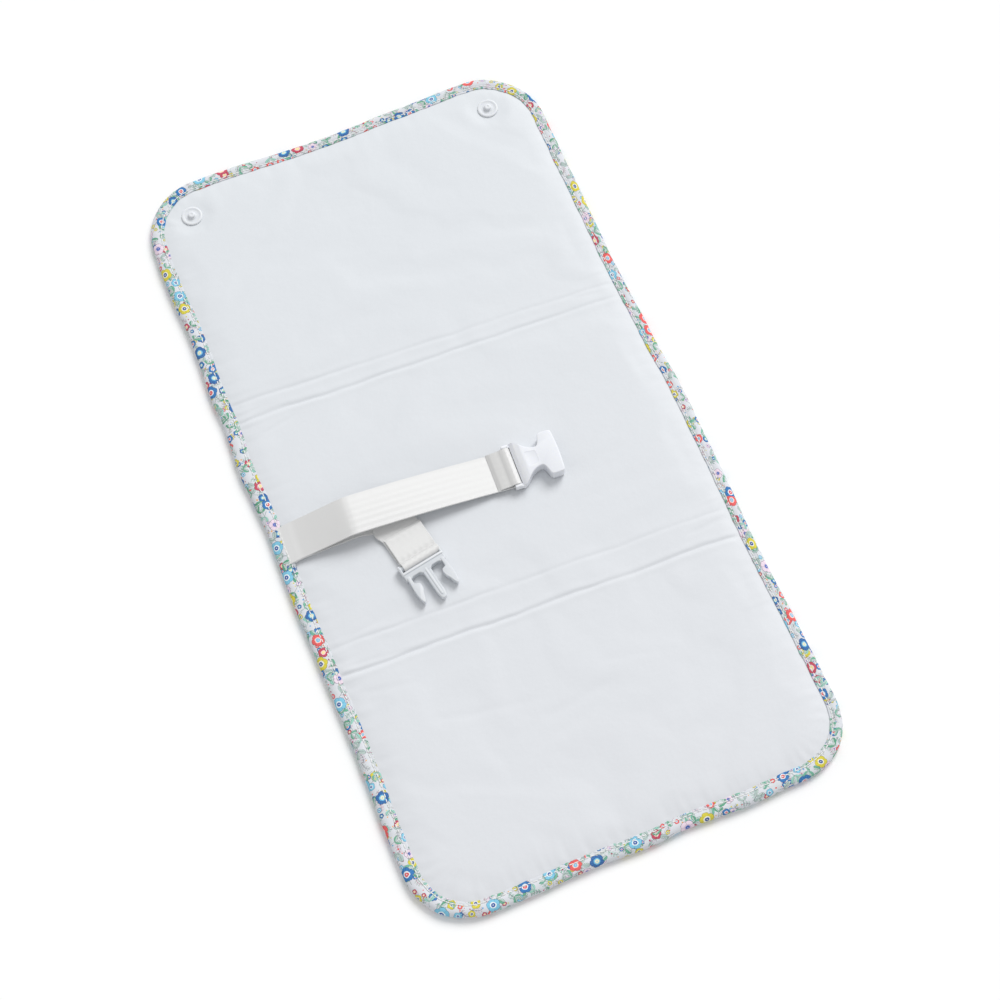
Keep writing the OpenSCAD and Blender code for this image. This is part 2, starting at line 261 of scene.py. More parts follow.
def sheet(name, points, normals, quads, thickness, material, uv, from_below=False):
    """A closed sheet: the grid where quads is true, a copy behind it and a wall round its rim."""
    rows, columns = quads.shape
    use = np.zeros((rows + 1, columns + 1), bool)
    use[:-1, :-1] |= quads
    use[1:, :-1] |= quads
    use[:-1, 1:] |= quads
    use[1:, 1:] |= quads
    count = int(use.sum())
    index = -np.ones(use.shape, int)
    index[use] = np.arange(count)
    front, front_normals = points[use], normals[use]
    j, i = np.nonzero(quads)
    a, b, c, d = index[j, i], index[j, i + 1], index[j + 1, i + 1], index[j + 1, i]
    faces = [np.stack([a, b, c, d], 1), np.stack([a, d, c, b], 1) + count]
    padded = np.zeros((rows + 2, columns + 2), bool)
    padded[1:-1, 1:-1] = quads
    # neighbour across each side of a quad, and the corners that bound that side
    for dj, di, first, second in ((-1, 0, (0, 0), (0, 1)), (0, 1, (0, 1), (1, 1)),
                                  (1, 0, (1, 1), (1, 0)), (0, -1, (1, 0), (0, 0))):
        rim = quads & ~padded[1 + dj:rows + 1 + dj, 1 + di:columns + 1 + di]
        j, i = np.nonzero(rim)
        p = index[j + first[0], i + first[1]]
        q = index[j + second[0], i + second[1]]
        faces.append(np.stack([q, p, p + count, q + count], 1))
    faces = np.vstack(faces)
    if from_below:
        faces = faces[:, ::-1]
    return mesh_object(name, np.vstack([front, front - front_normals * thickness]), faces,
                       np.vstack([uv[use], uv[use]]), material,
                       normals=np.vstack([front_normals, -front_normals]))


WEB_THICK = 1.3
WEB_HALF = 14.5         # half the webbing's width
SELVEDGE = 0.35         # how far the rounded selvedges stand out
WEB_COLUMNS = np.linspace(-WEB_HALF, WEB_HALF, 25)


def ribbon(name, middle, normals, material, uv, taper):
    """A closed webbing strip about a grid of mid-surface points.

    Its far end is squeezed thin, on the normals' side when taper is 1 and the other when -1.
    """
    rows, columns = middle.shape[:2]
    half = WEB_THICK / 2
    steps = np.linalg.norm(np.diff(middle[:, columns // 2], axis=0), axis=1)[::-1]
    to_end = np.concatenate([[0], np.cumsum(steps)])[::-1]
    thin = (0.16 + 0.84 * smooth(0, 3.0, to_end))[:, None, None] * 2 - 1
    front = middle + normals * half * (thin if taper > 0 else 1)
    rear = middle - normals * half * (thin if taper < 0 else 1)
    first = middle[:, 0] + unit(middle[:, 0] - middle[:, 1]) * SELVEDGE
    last = middle[:, -1] + unit(middle[:, -1] - middle[:, -2]) * SELVEDGE
    ring = np.concatenate([front, last[:, None], rear[:, ::-1], first[:, None]], axis=1)
    index = np.arange(rows * ring.shape[1]).reshape(rows, -1)
    after = np.roll(index, -1, axis=1)
    faces = np.stack([after[:-1], after[1:], index[1:], index[:-1]], -1).reshape(-1, 4).tolist()
    faces += [index[0].tolist(), index[-1][::-1].tolist()]
    ring_uv = np.concatenate([uv, uv[:, -1:], uv[:, ::-1], uv[:, :1]], axis=1)
    piece = mesh_object(name, ring.reshape(-1, 3), faces, ring_uv.reshape(-1, 2), material,
                        sharp=50)
    turn_faces_out(piece)
    return piece


# ---------------------------------------------------------------- shader building
def math_method(operation):
    return lambda self, *others: self.shader.math(operation, self, *others)


class Value:
    """A shader output. Arithmetic on it adds Math nodes."""
    __add__ = math_method("ADD")
    __sub__ = math_method("SUBTRACT")
    __mul__ = math_method("MULTIPLY")
    __truediv__ = math_method("DIVIDE")
    __pow__ = math_method("POWER")
    __gt__ = math_method("GREATER_THAN")
    __abs__ = math_method("ABSOLUTE")
    sine = math_method("SINE")
    cosine = math_method("COSINE")
    arctan2 = math_method("ARCTAN2")
    fract = math_method("FRACT")
    maximum = math_method("MAXIMUM")
    pingpong = math_method("PINGPONG")

    def __init__(self, shader, socket):
        self.shader = shader
        self.socket = socket

    def __rsub__(self, other):
        return self.shader.math("SUBTRACT", other, self)

    def output(self, key):
        """Another output of the same node."""
        return Value(self.shader, self.socket.node.outputs[key])

    def below(self, edge, width):
        """1 where this is under edge, falling to 0 over width."""
        return self.shader.node("ShaderNodeMapRange",
                                (self, edge - width / 2, edge + width / 2, 1, 0),
                                interpolation_type="SMOOTHSTEP")

    def wave(self, period):
        return (self * (2 * math.pi / period)).sine()


class Shader:
    """A material with one Principled BSDF."""
    def __init__(self, name):
        self.material = bpy.data.materials.new(name)
        self.material.use_nodes = True
        self.tree = self.material.node_tree
        self.tree.nodes.clear()
        output = self.tree.nodes.new("ShaderNodeOutputMaterial")
        self.surface = self.tree.nodes.new("ShaderNodeBsdfPrincipled")
        self.tree.links.new(self.surface.outputs[0], output.inputs[0])

    def put(self, socket, value):
        if isinstance(value, Value):
            self.tree.links.new(value.socket, socket)
        elif value is not None:
            socket.default_value = (*value, 1) if socket.type == "RGBA" else value

    def node(self, kind, inputs=(), output=0, **settings):
        """Adds a node, fills its inputs in order or by key, and gives one output."""
        node = self.tree.nodes.new(kind)
        for key, value in settings.items():
            setattr(node, key, value)
        for key, value in inputs.items() if isinstance(inputs, dict) else enumerate(inputs):
            self.put(node.inputs[key], value)
        return Value(self, node.outputs[output])

    def math(self, operation, *inputs, clamp=False):
        return self.node("ShaderNodeMath", inputs, operation=operation, use_clamp=clamp)

    def vector(self, operation, *inputs, output=0):
        return self.node("ShaderNodeVectorMath", inputs, output, operation=operation)

    def scale(self, vector, factor):
        return self.node("ShaderNodeVectorMath", {0: vector, "Scale": factor}, operation="SCALE")

    def split(self, vector, kind="ShaderNodeSeparateXYZ"):
        first = self.node(kind, (vector,))
        return [first.output(k) for k in range(3)]

    def join(self, x, y):
        return self.node("ShaderNodeCombineXYZ", (x, y, 0.0))

    def length(self, x, y):
        return self.vector("LENGTH", self.join(x, y), output=1)

    def mix(self, factor, base, over):
        return self.node("ShaderNodeMix", {0: factor, 6: base, 7: over}, output=2,
                         data_type="RGBA")

    def noise(self, vector, scale, detail=2.0, roughness=0.5, output=0, dimensions="3D"):
        return self.node("ShaderNodeTexNoise", {"Vector": vector, "Scale": scale,
                                                "Detail": detail, "Roughness": roughness},
                         output, noise_dimensions=dimensions)

    def steps(self, factor, colours):
        """Picks one of the colours in equal steps of factor."""
        ramp = self.node("ShaderNodeValToRGB", (factor,))
        color_ramp = ramp.socket.node.color_ramp
        color_ramp.interpolation = "CONSTANT"
        elements = color_ramp.elements
        while len(elements) > 1:
            elements.remove(elements[-1])
        elements[0].position = 0
        elements[0].color = (*colours[0], 1)
        for k, colour in enumerate(colours[1:], 1):
            elements.new(k / len(colours)).color = (*colour, 1)
        return ramp

    def uv_mm(self):
        # the map holds millimetres over 100
        return self.scale(self.node("ShaderNodeUVMap", uv_map="mm"), 100.0)

    def object_mm(self):
        return self.scale(self.node("ShaderNodeTexCoord", output="Object"), 1000.0)

    def bump(self, height, distance, strength, normal=None):
        """distance is in millimetres."""
        return self.node("ShaderNodeBump", {"Strength": strength, "Distance": distance * MM,
                                            "Height": height, "Normal": normal})

    def finish(self, **inputs):
        """Fills the surface's inputs, named with underscores for spaces."""
        for key, value in inputs.items():
            self.put(self.surface.inputs[key.replace("_", " ")], value)
        return self.material


def srgb(*channels):
    """Linear colour from 0..255 sRGB channels."""
    return tuple(c / 255 / 12.92 if c <= 10 else ((c / 255 + 0.055) / 1.055) ** 2.4
                 for c in channels)


# ---------------------------------------------------------------- flower print
def print_cell(place, size, shift, randomness):
    """Place within the nearest motif cell, and three random values of that cell."""
    shader = place.shader
    place = shader.vector("ADD", place, (shift, shift * 0.63, 0))
    cells = shader.node("ShaderNodeTexVoronoi", {"Vector": place, "Scale": 1.0 / size,
                                                 "Randomness": randomness},
                        voronoi_dimensions="2D")
    x, y, _ = shader.split(shader.vector("SUBTRACT", place, cells.output("Position")))
    return (x, y, *shader.split(cells.output("Color"), "ShaderNodeSeparateColor"))


def turned(x, y, turn):
    """Turns a place by a share of a full circle."""
    angle = turn * (2 * math.pi)
    cosine, sine = angle.cosine(), angle.sine()
    return x * cosine - y * sine, x * sine + y * cosine


def pick(random, spread, colours):
    """spread multiplies the random value, so that each layer picks its own way."""
    return random.shader.steps((random * spread).fract(), colours)


PRINT_LINE = srgb(78, 82, 92)
SPRIG_EDGES = [PRINT_LINE, srgb(70, 120, 100), srgb(150, 80, 104), PRINT_LINE]
SPRIG_FILLS = [srgb(196, 222, 214), srgb(232, 214, 224), srgb(150, 204, 180), srgb(222, 228, 226)]
BERRIES = [srgb(236, 160, 52), srgb(226, 84, 76), srgb(170, 40, 84), srgb(74, 160, 214),
           srgb(214, 204, 50)]
LEAF_TONES = [srgb(112, 182, 156), srgb(86, 162, 128), srgb(150, 206, 190), srgb(104, 176, 144),
              srgb(176, 196, 192)]
LEAF_DARKS = [srgb(38, 104, 84), srgb(28, 88, 66), srgb(52, 112, 104), srgb(24, 80, 62),
              PRINT_LINE]
FLOWERS = [     # petal, ring, heart, outline
    (srgb(0, 98, 168), srgb(112, 190, 226), srgb(240, 236, 200), srgb(6, 50, 116)),
    (srgb(216, 204, 44), srgb(240, 240, 226), srgb(24, 72, 150), srgb(130, 122, 36)),
    (srgb(232, 84, 84), srgb(250, 214, 206), srgb(112, 192, 226), srgb(150, 44, 56)),
    (srgb(236, 216, 230), srgb(210, 190, 214), srgb(36, 92, 178), srgb(112, 92, 116)),
    (srgb(122, 198, 226), srgb(236, 244, 246), srgb(20, 78, 160), srgb(46, 108, 150)),
    (srgb(0, 112, 182), srgb(236, 240, 244), srgb(222, 70, 78), srgb(8, 56, 124)),
    (srgb(196, 54, 84), srgb(240, 206, 210), srgb(246, 230, 150), srgb(116, 24, 48)),
]


def sprigs(place, colour, size, shift, spread, pitch=1.9):
    """Curved stems with a pair of outlined leaves every pitch."""
    mix = place.shader.mix
    x, y, turn, fill_random, edge_random = print_cell(place, size, shift, randomness=0.8)
    along, across = turned(x, y, turn)
    across = across + along * along * 0.08      # the curve of the stem
    off = abs(across)
    local = ((along / pitch).fract() - 0.5) * pitch
    leaf_along = local * 0.64 + off * 0.77
    leaf_across = local * 0.77 - off * 0.64 + 0.35
    t = (leaf_along - 1.1) / 1.1
    leaf_half = (1.0 - t * t) * 0.52
    reach = abs(along).below(size * 0.38, 0.3)
    leaf = abs(leaf_across).below(leaf_half, 0.12) * reach
    core = abs(leaf_across).below(leaf_half - 0.16, 0.1) * reach
    stem = off.below(0.14, 0.1) * abs(along).below(size * 0.42, 0.3)
    edge = pick(edge_random, spread, SPRIG_EDGES)
    colour = mix(leaf, colour, edge)
    colour = mix(core, colour, pick(fill_random, spread, SPRIG_FILLS))
    return mix(stem, colour, edge)


def berries(place, colour, size, shift, spread):
    x, y, tone, girth, chance = print_cell(place, size, shift, randomness=0.9)
    radius = place.shader.length(x, y)
    berry = radius.below(girth * 0.30 + 0.34, 0.12) * (chance > 0.62)
    return place.shader.mix(berry, colour, pick(tone, spread, BERRIES))


def flowers(place, colour, size, shift, randomness, radius, keep, spread):
    """Round five-petalled flowers in the share of cells that keep gives."""
    mix = place.shader.mix
    x, y, kind, girth, chance = print_cell(place, size, shift, randomness)
    r = place.shader.length(x, y)
    angle = y.arctan2(x) + kind * 6.283
    lobe = abs((angle * 2.5).cosine()) ** 0.45
    full = (girth * 0.30 + 0.80) * radius
    edge = full * (lobe * 0.22 + 0.78)
    shown = chance > 1 - keep
    line_width = 0.15 + radius * 0.02
    inside = r.below(edge, 0.12) * shown
    body = r.below(edge - line_width, 0.12) * shown
    petal, ring, heart, line = (pick(kind, spread, tones) for tones in zip(*FLOWERS))
    vein = abs((angle * 7.5).sine()) ** 4.0 * 0.08
    petal = mix(vein, petal, mix(0.6, petal, srgb(255, 255, 250)))
    gap = abs((angle * 2.5).cosine()).below(0.10, 0.10) * (r > full * 0.42)
    colour = mix(inside, colour, line)
    colour = mix(body, colour, mix(gap * 0.55, petal, line))
    colour = mix(r.below(full * 0.46, 0.12) * shown, colour, ring)
    colour = mix(r.below(full * 0.30, 0.12) * shown, colour, heart)
    return mix(r.below(full * 0.10, 0.1) * shown * 0.75, colour, ring)


def leaf_pairs(place, colour, size, shift, spread, radius, keep):
    """Pairs of pointed leaves, half plain and half hatched, with dark outline and midrib."""
    mix = place.shader.mix
    x, y, turn, tone_random, chance = print_cell(place, size, shift, randomness=0.8)
    r = place.shader.length(x, y)
    along, across = turned(x, y, turn)
    off = abs(across)
    leaf_along = along * 0.78 + off * 0.62
    leaf_across = off * 0.78 - along * 0.62
    angle = abs(leaf_across.arctan2(leaf_along))
    edge = (angle * 2.15).cosine() * radius
    wide = angle.below(0.70, 0.05)
    shown = chance > 1 - keep
    inside = r.below(edge, 0.12) * wide * shown
    tone = pick(tone_random, spread, LEAF_TONES)
    dark = pick(tone_random, spread, LEAF_DARKS)
    hatch = ((leaf_along + leaf_across * 0.9) * 6.2).cosine() * 0.5 + 0.5
    hatched = mix(hatch.below(0.30, 0.25) * 0.7, srgb(206, 226, 218), dark)
    colour = mix(inside, colour, mix(leaf_across > 0.0, hatched, tone))
    rim = abs(r - edge).below(0.15, 0.10) * wide * shown
    midrib = abs(leaf_across).below(0.10, 0.10) * inside * shown
    stalk = off.below(0.12, 0.10) * abs(along + 2.0).below(2.1, 0.2) * shown
    colour = mix(rim.maximum(midrib) * 0.85, colour, dark)
    return mix(stalk * 0.8, colour, dark)


def flower_print(shader, p):
    """Small all-over print, laid from the lowest motif to the highest."""
    colour = shader.mix(shader.noise(p, scale=0.04), srgb(211, 217, 220), srgb(223, 223, 231))
    flat = shader.join(shader.split(p)[0], shader.split(p)[1])
    wobble = shader.noise(flat, scale=0.55, output=1, dimensions="2D")
    wobble = shader.scale(shader.vector("SUBTRACT", wobble, (0.5, 0.5, 0.5)), 0.8)
    place = shader.vector("ADD", flat, wobble)
    colour = sprigs(place, colour, size=9.0, shift=131.7, spread=3.3)
    colour = berries(place, colour, size=4.2, shift=12.3, spread=6.1)
    colour = flowers(place, colour, size=7.8, shift=51.3, randomness=0.75, radius=1.85,
                     keep=0.64, spread=7.7)
    colour = flowers(place, colour, size=12.0, shift=3.9, randomness=0.7, radius=3.45,
                     keep=0.80, spread=4.9)
    colour = leaf_pairs(place, colour, size=11.5, shift=31.7, spread=5.3, radius=6.2, keep=0.80)
    colour = leaf_pairs(place, colour, size=9.0, shift=77.1, spread=9.1, radius=4.6, keep=0.62)
    return flowers(place, colour, size=18.5, shift=203.9, randomness=0.8, radius=5.3,
                   keep=0.78, spread=11.3)


# ---------------------------------------------------------------- materials
def weave_height(shader, p, pitch):
    x, y, _ = shader.split(p)
    return x.wave(pitch) * y.wave(pitch) * 0.5 + 0.5


def print_material(name):
    shader = Shader(name)
    p = shader.uv_mm()
    weave = weave_height(shader, p, pitch=0.55)
    # ink sits unevenly on the thread, and the gaps of the weave are painted darker as painted
    # shade
    ink = shader.noise(p, scale=0.9, detail=3, roughness=0.6) * 0.07
    colour = shader.mix(ink, flower_print(shader, p), srgb(250, 250, 246))
    colour = shader.mix((1.0 - weave) * 0.07, colour, (0.25, 0.27, 0.28))
    height = weave * 0.6 + shader.noise(p, scale=2.4, detail=3) * 0.5
    normal = shader.bump(height, distance=0.10, strength=0.55)
    normal = shader.bump(shader.noise(p, scale=0.16), distance=0.7, strength=0.35, normal=normal)
    return shader.finish(Base_Color=colour, Normal=normal,
                         Roughness=shader.noise(p, scale=0.35, detail=3) * 0.14 + 0.72,
                         Sheen_Weight=0.04, Sheen_Roughness=0.5, Specular_IOR_Level=0.12)


def face_material():
    shader = Shader("face_cloth")
    p = shader.uv_mm()
    # painted light: the face is painted a little lighter towards the upper end, from the lower
    # end of the mat to the upper, over 600 mm
    painted_light_share = shader.math("MULTIPLY_ADD", shader.split(p)[1], 1 / 600.0, 0.5, clamp=True)
    colour = shader.mix(painted_light_share, srgb(216, 218, 222), srgb(217, 221, 225))
    cloud = shader.noise(p, scale=0.012, detail=3, roughness=0.55)
    colour = shader.mix(cloud * 0.25, colour, srgb(220, 224, 229))
    # the fine ground weave shows faintly through the coating
    weave = weave_height(shader, p, pitch=0.62)
    colour = shader.mix(weave * 0.035, colour, (1, 1, 1))
    speck = shader.noise(p, scale=1.7).below(0.33, 0.06)
    colour = shader.mix(speck * 0.05, colour, srgb(180, 186, 196))
    height = weave * 0.6 + shader.noise(p, scale=1.3, detail=3) * 0.6
    normal = shader.bump(height, distance=0.05, strength=0.5)
    normal = shader.bump(shader.noise(p, scale=0.11, detail=4, roughness=0.62),
                         distance=0.55, strength=0.30, normal=normal)
    return shader.finish(Base_Color=colour, Normal=normal,
                         Roughness=shader.noise(p, scale=0.05, detail=3) * 0.16 + 0.44,
                         Specular_IOR_Level=0.35, Sheen_Weight=0.08,
                         Coat_Weight=0.06, Coat_Roughness=0.4)


def webbing_material(name, painted_shade_end, painted_shade_mix, crease_at, crease_shade_mix,
                     tail_shade_from=1e6, tail_shade_mix=0.0):
    """Herringbone tape with painted shade. The places are distances run along it, the mixes how
    much the painted shade darkens.
    """
    shader = Shader(name)
    p = shader.uv_mm()
    along, across, _ = shader.split(p)
    # diagonal ribs that turn back every few millimetres across the tape
    rib = (along + across.pingpong(2.4)).wave(0.95) * 0.5 + 0.5
    warp = across.wave(0.6) * 0.5 + 0.5
    height = rib * 0.8 + warp * 0.25
    height = height + (abs(across) > 13.3) * (along.wave(1.3) * 0.5)    # selvedge
    colour = shader.mix(rib * 0.55, srgb(219, 219, 218), srgb(243, 243, 243))
    colour = shader.mix(shader.noise(p, scale=0.12, detail=3) * 0.25, colour,
                        srgb(229, 229, 228))
    fuzz = shader.noise(p, scale=3.5)
    colour = shader.mix(fuzz * 0.10, colour, (1, 1, 1))
    # painted shade: the turned-back end is painted darker, as shade where it slopes away from the
    # light
    colour = shader.mix((along > tail_shade_from) * tail_shade_mix, colour, srgb(150, 149, 146))
    # painted shade, from about 14 mm past the seam to the given end: on the long strap the ramp
    # turned away from the light, on the short strap everything past the root
    painted_shade = along.below(painted_shade_end, 8.0) * (1.0 - along.below(14.0, 7.0))
    colour = shader.mix(painted_shade * painted_shade_mix, colour, srgb(150, 149, 146))
    # painted shade: a dark line painted along the crease, as shade in the groove
    crease = abs(along - crease_at).below(0.50, 0.7)
    colour = shader.mix(crease * crease_shade_mix, colour, srgb(120, 119, 118))
    return shader.finish(Base_Color=colour, Roughness=fuzz * 0.12 + 0.36,
                         Normal=shader.bump(height + fuzz * 0.25, distance=0.16, strength=0.6),
                         Sheen_Weight=0.12, Sheen_Roughness=0.45, Specular_IOR_Level=0.85)


def thread_material():
    shader = Shader("stitch_thread")
    p = shader.uv_mm()
    along, across, _ = shader.split(p)
    twist = (along + across * 0.7).wave(0.42) * 0.5 + 0.5
    colour = shader.mix(twist, srgb(226, 228, 226), srgb(250, 251, 249))
    colour = shader.mix(shader.noise(p, scale=1.2) * 0.2, colour, srgb(236, 238, 236))
    return shader.finish(Base_Color=colour, Roughness=twist * 0.1 + 0.48,
                         Normal=shader.bump(twist, distance=0.06, strength=0.7),
                         Sheen_Weight=0.3)


def plastic_material(name, base, shade, roughness):
    shader = Shader(name)
    p = shader.object_mm()
    # 0 on worn, sharp edges
    smooth_part = shader.node("ShaderNodeNewGeometry", output="Pointiness").below(0.53, 0.06)
    colour = shader.mix(shader.noise(p, scale=0.18, detail=3) * 0.5, base, shade)
    colour = shader.mix((1.0 - smooth_part) * 0.35, colour, (0.98, 0.985, 1.0))
    streaks = shader.vector("MULTIPLY", p, (1.0, 4.0, 1.0))
    scuff = shader.noise(streaks, scale=0.8, detail=4, roughness=0.7).below(0.40, 0.05)
    grain = shader.noise(p, scale=0.9, detail=4, roughness=0.6)
    normal = shader.bump(shader.noise(p, scale=5.0, detail=3, roughness=0.6),
                         distance=0.03, strength=0.5)
    normal = shader.bump(shader.noise(p, scale=0.25), distance=0.12, strength=0.3, normal=normal)
    return shader.finish(Base_Color=colour, Normal=normal,
                         Roughness=grain * 0.14 + roughness + scuff * 0.16,
                         Specular_IOR_Level=0.5, Subsurface_Weight=0.12,
                         Subsurface_Radius=(0.6, 0.6, 0.7), Subsurface_Scale=0.001)


FACE_CLOTH = face_material()
BINDING_CLOTH = print_material("print_binding")
BACKING_CLOTH = print_material("print_backing")
THREAD = thread_material()
SOCKET_PLASTIC = plastic_material("socket_plastic", base=srgb(228, 230, 235),
                                  shade=srgb(221, 224, 230), roughness=0.44)
# painted shade: the plug is the same white plastic as the socket, painted darker
SHADED_PLUG_PLASTIC = plastic_material("plug_plastic", base=srgb(208, 212, 216),
                                shade=srgb(200, 204, 210), roughness=0.46)
SNAP_PLASTIC = plastic_material("snap_plastic", base=srgb(219, 222, 226),
                                shade=srgb(213, 217, 222), roughness=0.48)

# ---------------------------------------------------------------- zones the soft mat is split into
# name, y range, body at its lower and upper end, hinge line, half reach of the bend, frame parts
Zone = namedtuple("Zone", "name low high low_body high_body hinge reach parts")
ZONES = [
    Zone("lower", -1e3, LOWER_SPLIT, "lower_panel", "lower_fold", LOWER_OUTER, 8.0, ["bottom"]),
    Zone("middle_low", LOWER_SPLIT, MIDDLE_SPLIT, "lower_fold", "middle_panel", LOWER_INNER, 8.0,
         ["middle", "lower_fold"]),
    Zone("middle_up", MIDDLE_SPLIT, UPPER_SPLIT, "middle_panel", "upper_fold", UPPER_INNER, 9.0,
         ["upper_fold"]),
    Zone("upper", UPPER_SPLIT, 1e3, "upper_fold", "upper_panel", UPPER_OUTER, 9.0, ["top"]),
]


def fit_to_zone(piece, zone, replaced=()):
    if replaced:
        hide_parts(*replaced)
    (zone.hinge - zone.reach) * MM
    (zone.hinge + zone.reach) * MM
    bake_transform(piece)


def mount(piece, body, slot, *replaced):
    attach(piece, body)
    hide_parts(*replaced)


# ---------------------------------------------------------------- the padded face
GRID_STEP_Y = (UPPER_SPLIT - MIDDLE_SPLIT) / 27.0
GRID_STEP_X = 4.0
GRID_ROWS = int((HALF_LENGTH - 5) / GRID_STEP_Y)
GRID_COLUMNS = int((HALF_WIDTH - 5) / GRID_STEP_X)
ROW_Y = np.arange(-GRID_ROWS, GRID_ROWS + 1) * GRID_STEP_Y
COLUMN_X = np.arange(-GRID_COLUMNS, GRID_COLUMNS + 1) * GRID_STEP_X
GRID_X, GRID_Y = np.meshgrid(COLUMN_X, ROW_Y)

# fold marks: y, tilt, depth at the strap side, depth at the far side, width, seed
CREASES = [
    (LOWER_OUTER + 1.0, -0.036, 1.05, 0.70, 1.25, 11),
    (LOWER_INNER - 1.0, -0.034, 0.46, 0.28, 1.3, 23),
    (UPPER_INNER + 0.0, -0.040, 0.86, 0.50, 1.25, 37),
    (UPPER_INNER + 13.5, -0.050, 0.46, 0.26, 1.3, 41),
]
# short drag lines: x and y of the start, length, angle, depth, width
DRAGS = [
    (-140, LOWER_OUTER + 11, 62, -.10, .55, 2.0), (-136, LOWER_INNER + 7, 40, .14, .45, 2.0),
    (-138, UPPER_INNER + 7, 74, -.02, .5, 1.9), (-134, UPPER_INNER - 9, 34, .20, .45, 1.8),
    (-139, LOWER_OUTER - 10, 48, -.20, .45, 2.1), (118, LOWER_OUTER + 9, 40, .1, .35, 2.0),
    (112, UPPER_INNER + 6, 36, -.12, .35, 2.0), (-100, -168, 90, -.18, .40, 3.0),
    (-30, -196, 84, .16, .42, 3.4), (20, -172, 70, -.22, .32, 3.0),
]


def crown(inset):
    """Height of the face over its inset from the outline."""
    past = inset - 10.0
    dome = 5.55 + (FACE_TOP - 5.85) * (1 - np.exp(-np.maximum(past, 0) / 8.0))
    return np.where(past > 0, dome, 5.55 + past * 0.20)


def crease_height(x, y):
    z = np.zeros_like(x)
    for crease_y, tilt, strap_depth, far_depth, width, seed in CREASES:
        line = (crease_y + tilt * x + 1.1 * noise(x / 46, seed, seed)
                + 0.5 * noise(x / 15, seed, seed + 3))
        depth = strap_depth + (far_depth - strap_depth) * smooth(-150, 140, x)
        depth = depth * (0.80 + 0.42 * noise(x / 34, 3.3, seed + 7))
        t = (y - line) / (width * (1 + 0.3 * noise(x / 28, 8.1, seed + 9)))
        z -= depth * np.exp(-t * t)
        # the padding rolls up beside the mark
        z += depth * 0.22 * np.exp(-((np.abs(t) - 2.4) / 1.8) ** 2)
    for start_x, start_y, length, angle, depth, width in DRAGS:
        dx, dy = x - start_x, y - start_y
        along = dx * math.cos(angle) + dy * math.sin(angle)
        across = -dx * math.sin(angle) + dy * math.cos(angle) + 1.2 * noise(x / 21, y / 60, 61)
        fade = smooth(-6, 8, along) * (1 - smooth(length * 0.45, length, along))
        z -= 0.55 * depth * np.exp(-(across / width) ** 2) * fade
    return z


def face_height(x, y):
    inset, edge_x, edge_y, out_x, out_y = outline_at(x, y)
    past = np.maximum(inset - 10.0, 0)
    swell = (0.22 * noise(x / 78, y / 70, 1) + 0.10 * noise(x / 33 + 9, y / 30, 2)
             + 0.035 * noise(x / 13, y / 12, 3))
    z = crown(inset) + smooth(0, 22, past) * swell
    # gathers square to the binding, stronger along the strap side and the lower end
    strength = 0.34 + 0.34 * (out_x < -0.5) + 0.34 * (out_y < -0.5)
    run = 7.0 + 4.0 * noise(edge_x, edge_y, 12, cell=19)
    gathers = (noise(edge_x, edge_y, 13, cell=6.3) + 0.55 * noise(edge_x, edge_y, 14, cell=3.4))
    z = z + (strength * gathers * smooth(-0.5, 4.0, past)
             * np.exp(-past / np.maximum(run, 2.5)))
    z = z + crease_height(x, y) * smooth(-1, 5, past)
    # pressed flat round each snap
    for sign in (-1, 1):
        r = np.hypot(x - sign * STUD_X, y - STUD_Y)
        flat = np.exp(-(r / 13.0) ** 4)
        z = z * (1 - flat) + (EDGE_TOP - 0.05) * flat
        z = z - 0.25 * np.exp(-((r - 13.5) / 4.0) ** 2) * (0.6 + 0.6 * noise(x, y, 19, cell=7))
    # the straps' root holds the cover down where it leaves the seam
    root = np.exp(-((x - SEAM_X) / 7.0) ** 2) * (1 - smooth(12, 21, np.abs(y - STRAP_Y)))
    return z - 0.5 * root


CLOTH = dict(
    quality=5, mass=0.25,
    tension_stiffness=12, compression_stiffness=12, shear_stiffness=6, bending_stiffness=1.2,
    tension_damping=12, compression_damping=12, shear_damping=8, bending_damping=1.0,
    air_damping=2.0, vertex_group_mass="held", pin_stiffness=1.0,
    use_pressure=True, uniform_pressure_force=0.25,
    shrink_min=-0.016,      # the cloth is 1.6% over size
)
CLOTH_FRAMES = 20
HOLD_LEVELS = 20


def hold_weights(x, y, inset):
    """How firmly the cover is held: at the binding, the fold marks and the snaps."""
    held = 1 - smooth(10.5, 15.0, inset)
    for crease_y, tilt, depth, *_ in CREASES:
        mark = np.exp(-((y - crease_y - tilt * x) / 3.0) ** 2)
        held = np.maximum(held, 0.5 * depth / 1.5 * mark)
    for sign in (-1, 1):
        r = np.hypot(x - sign * STUD_X, y - STUD_Y)
        held = np.maximum(held, np.exp(-(r / 12.0) ** 4))
    return held


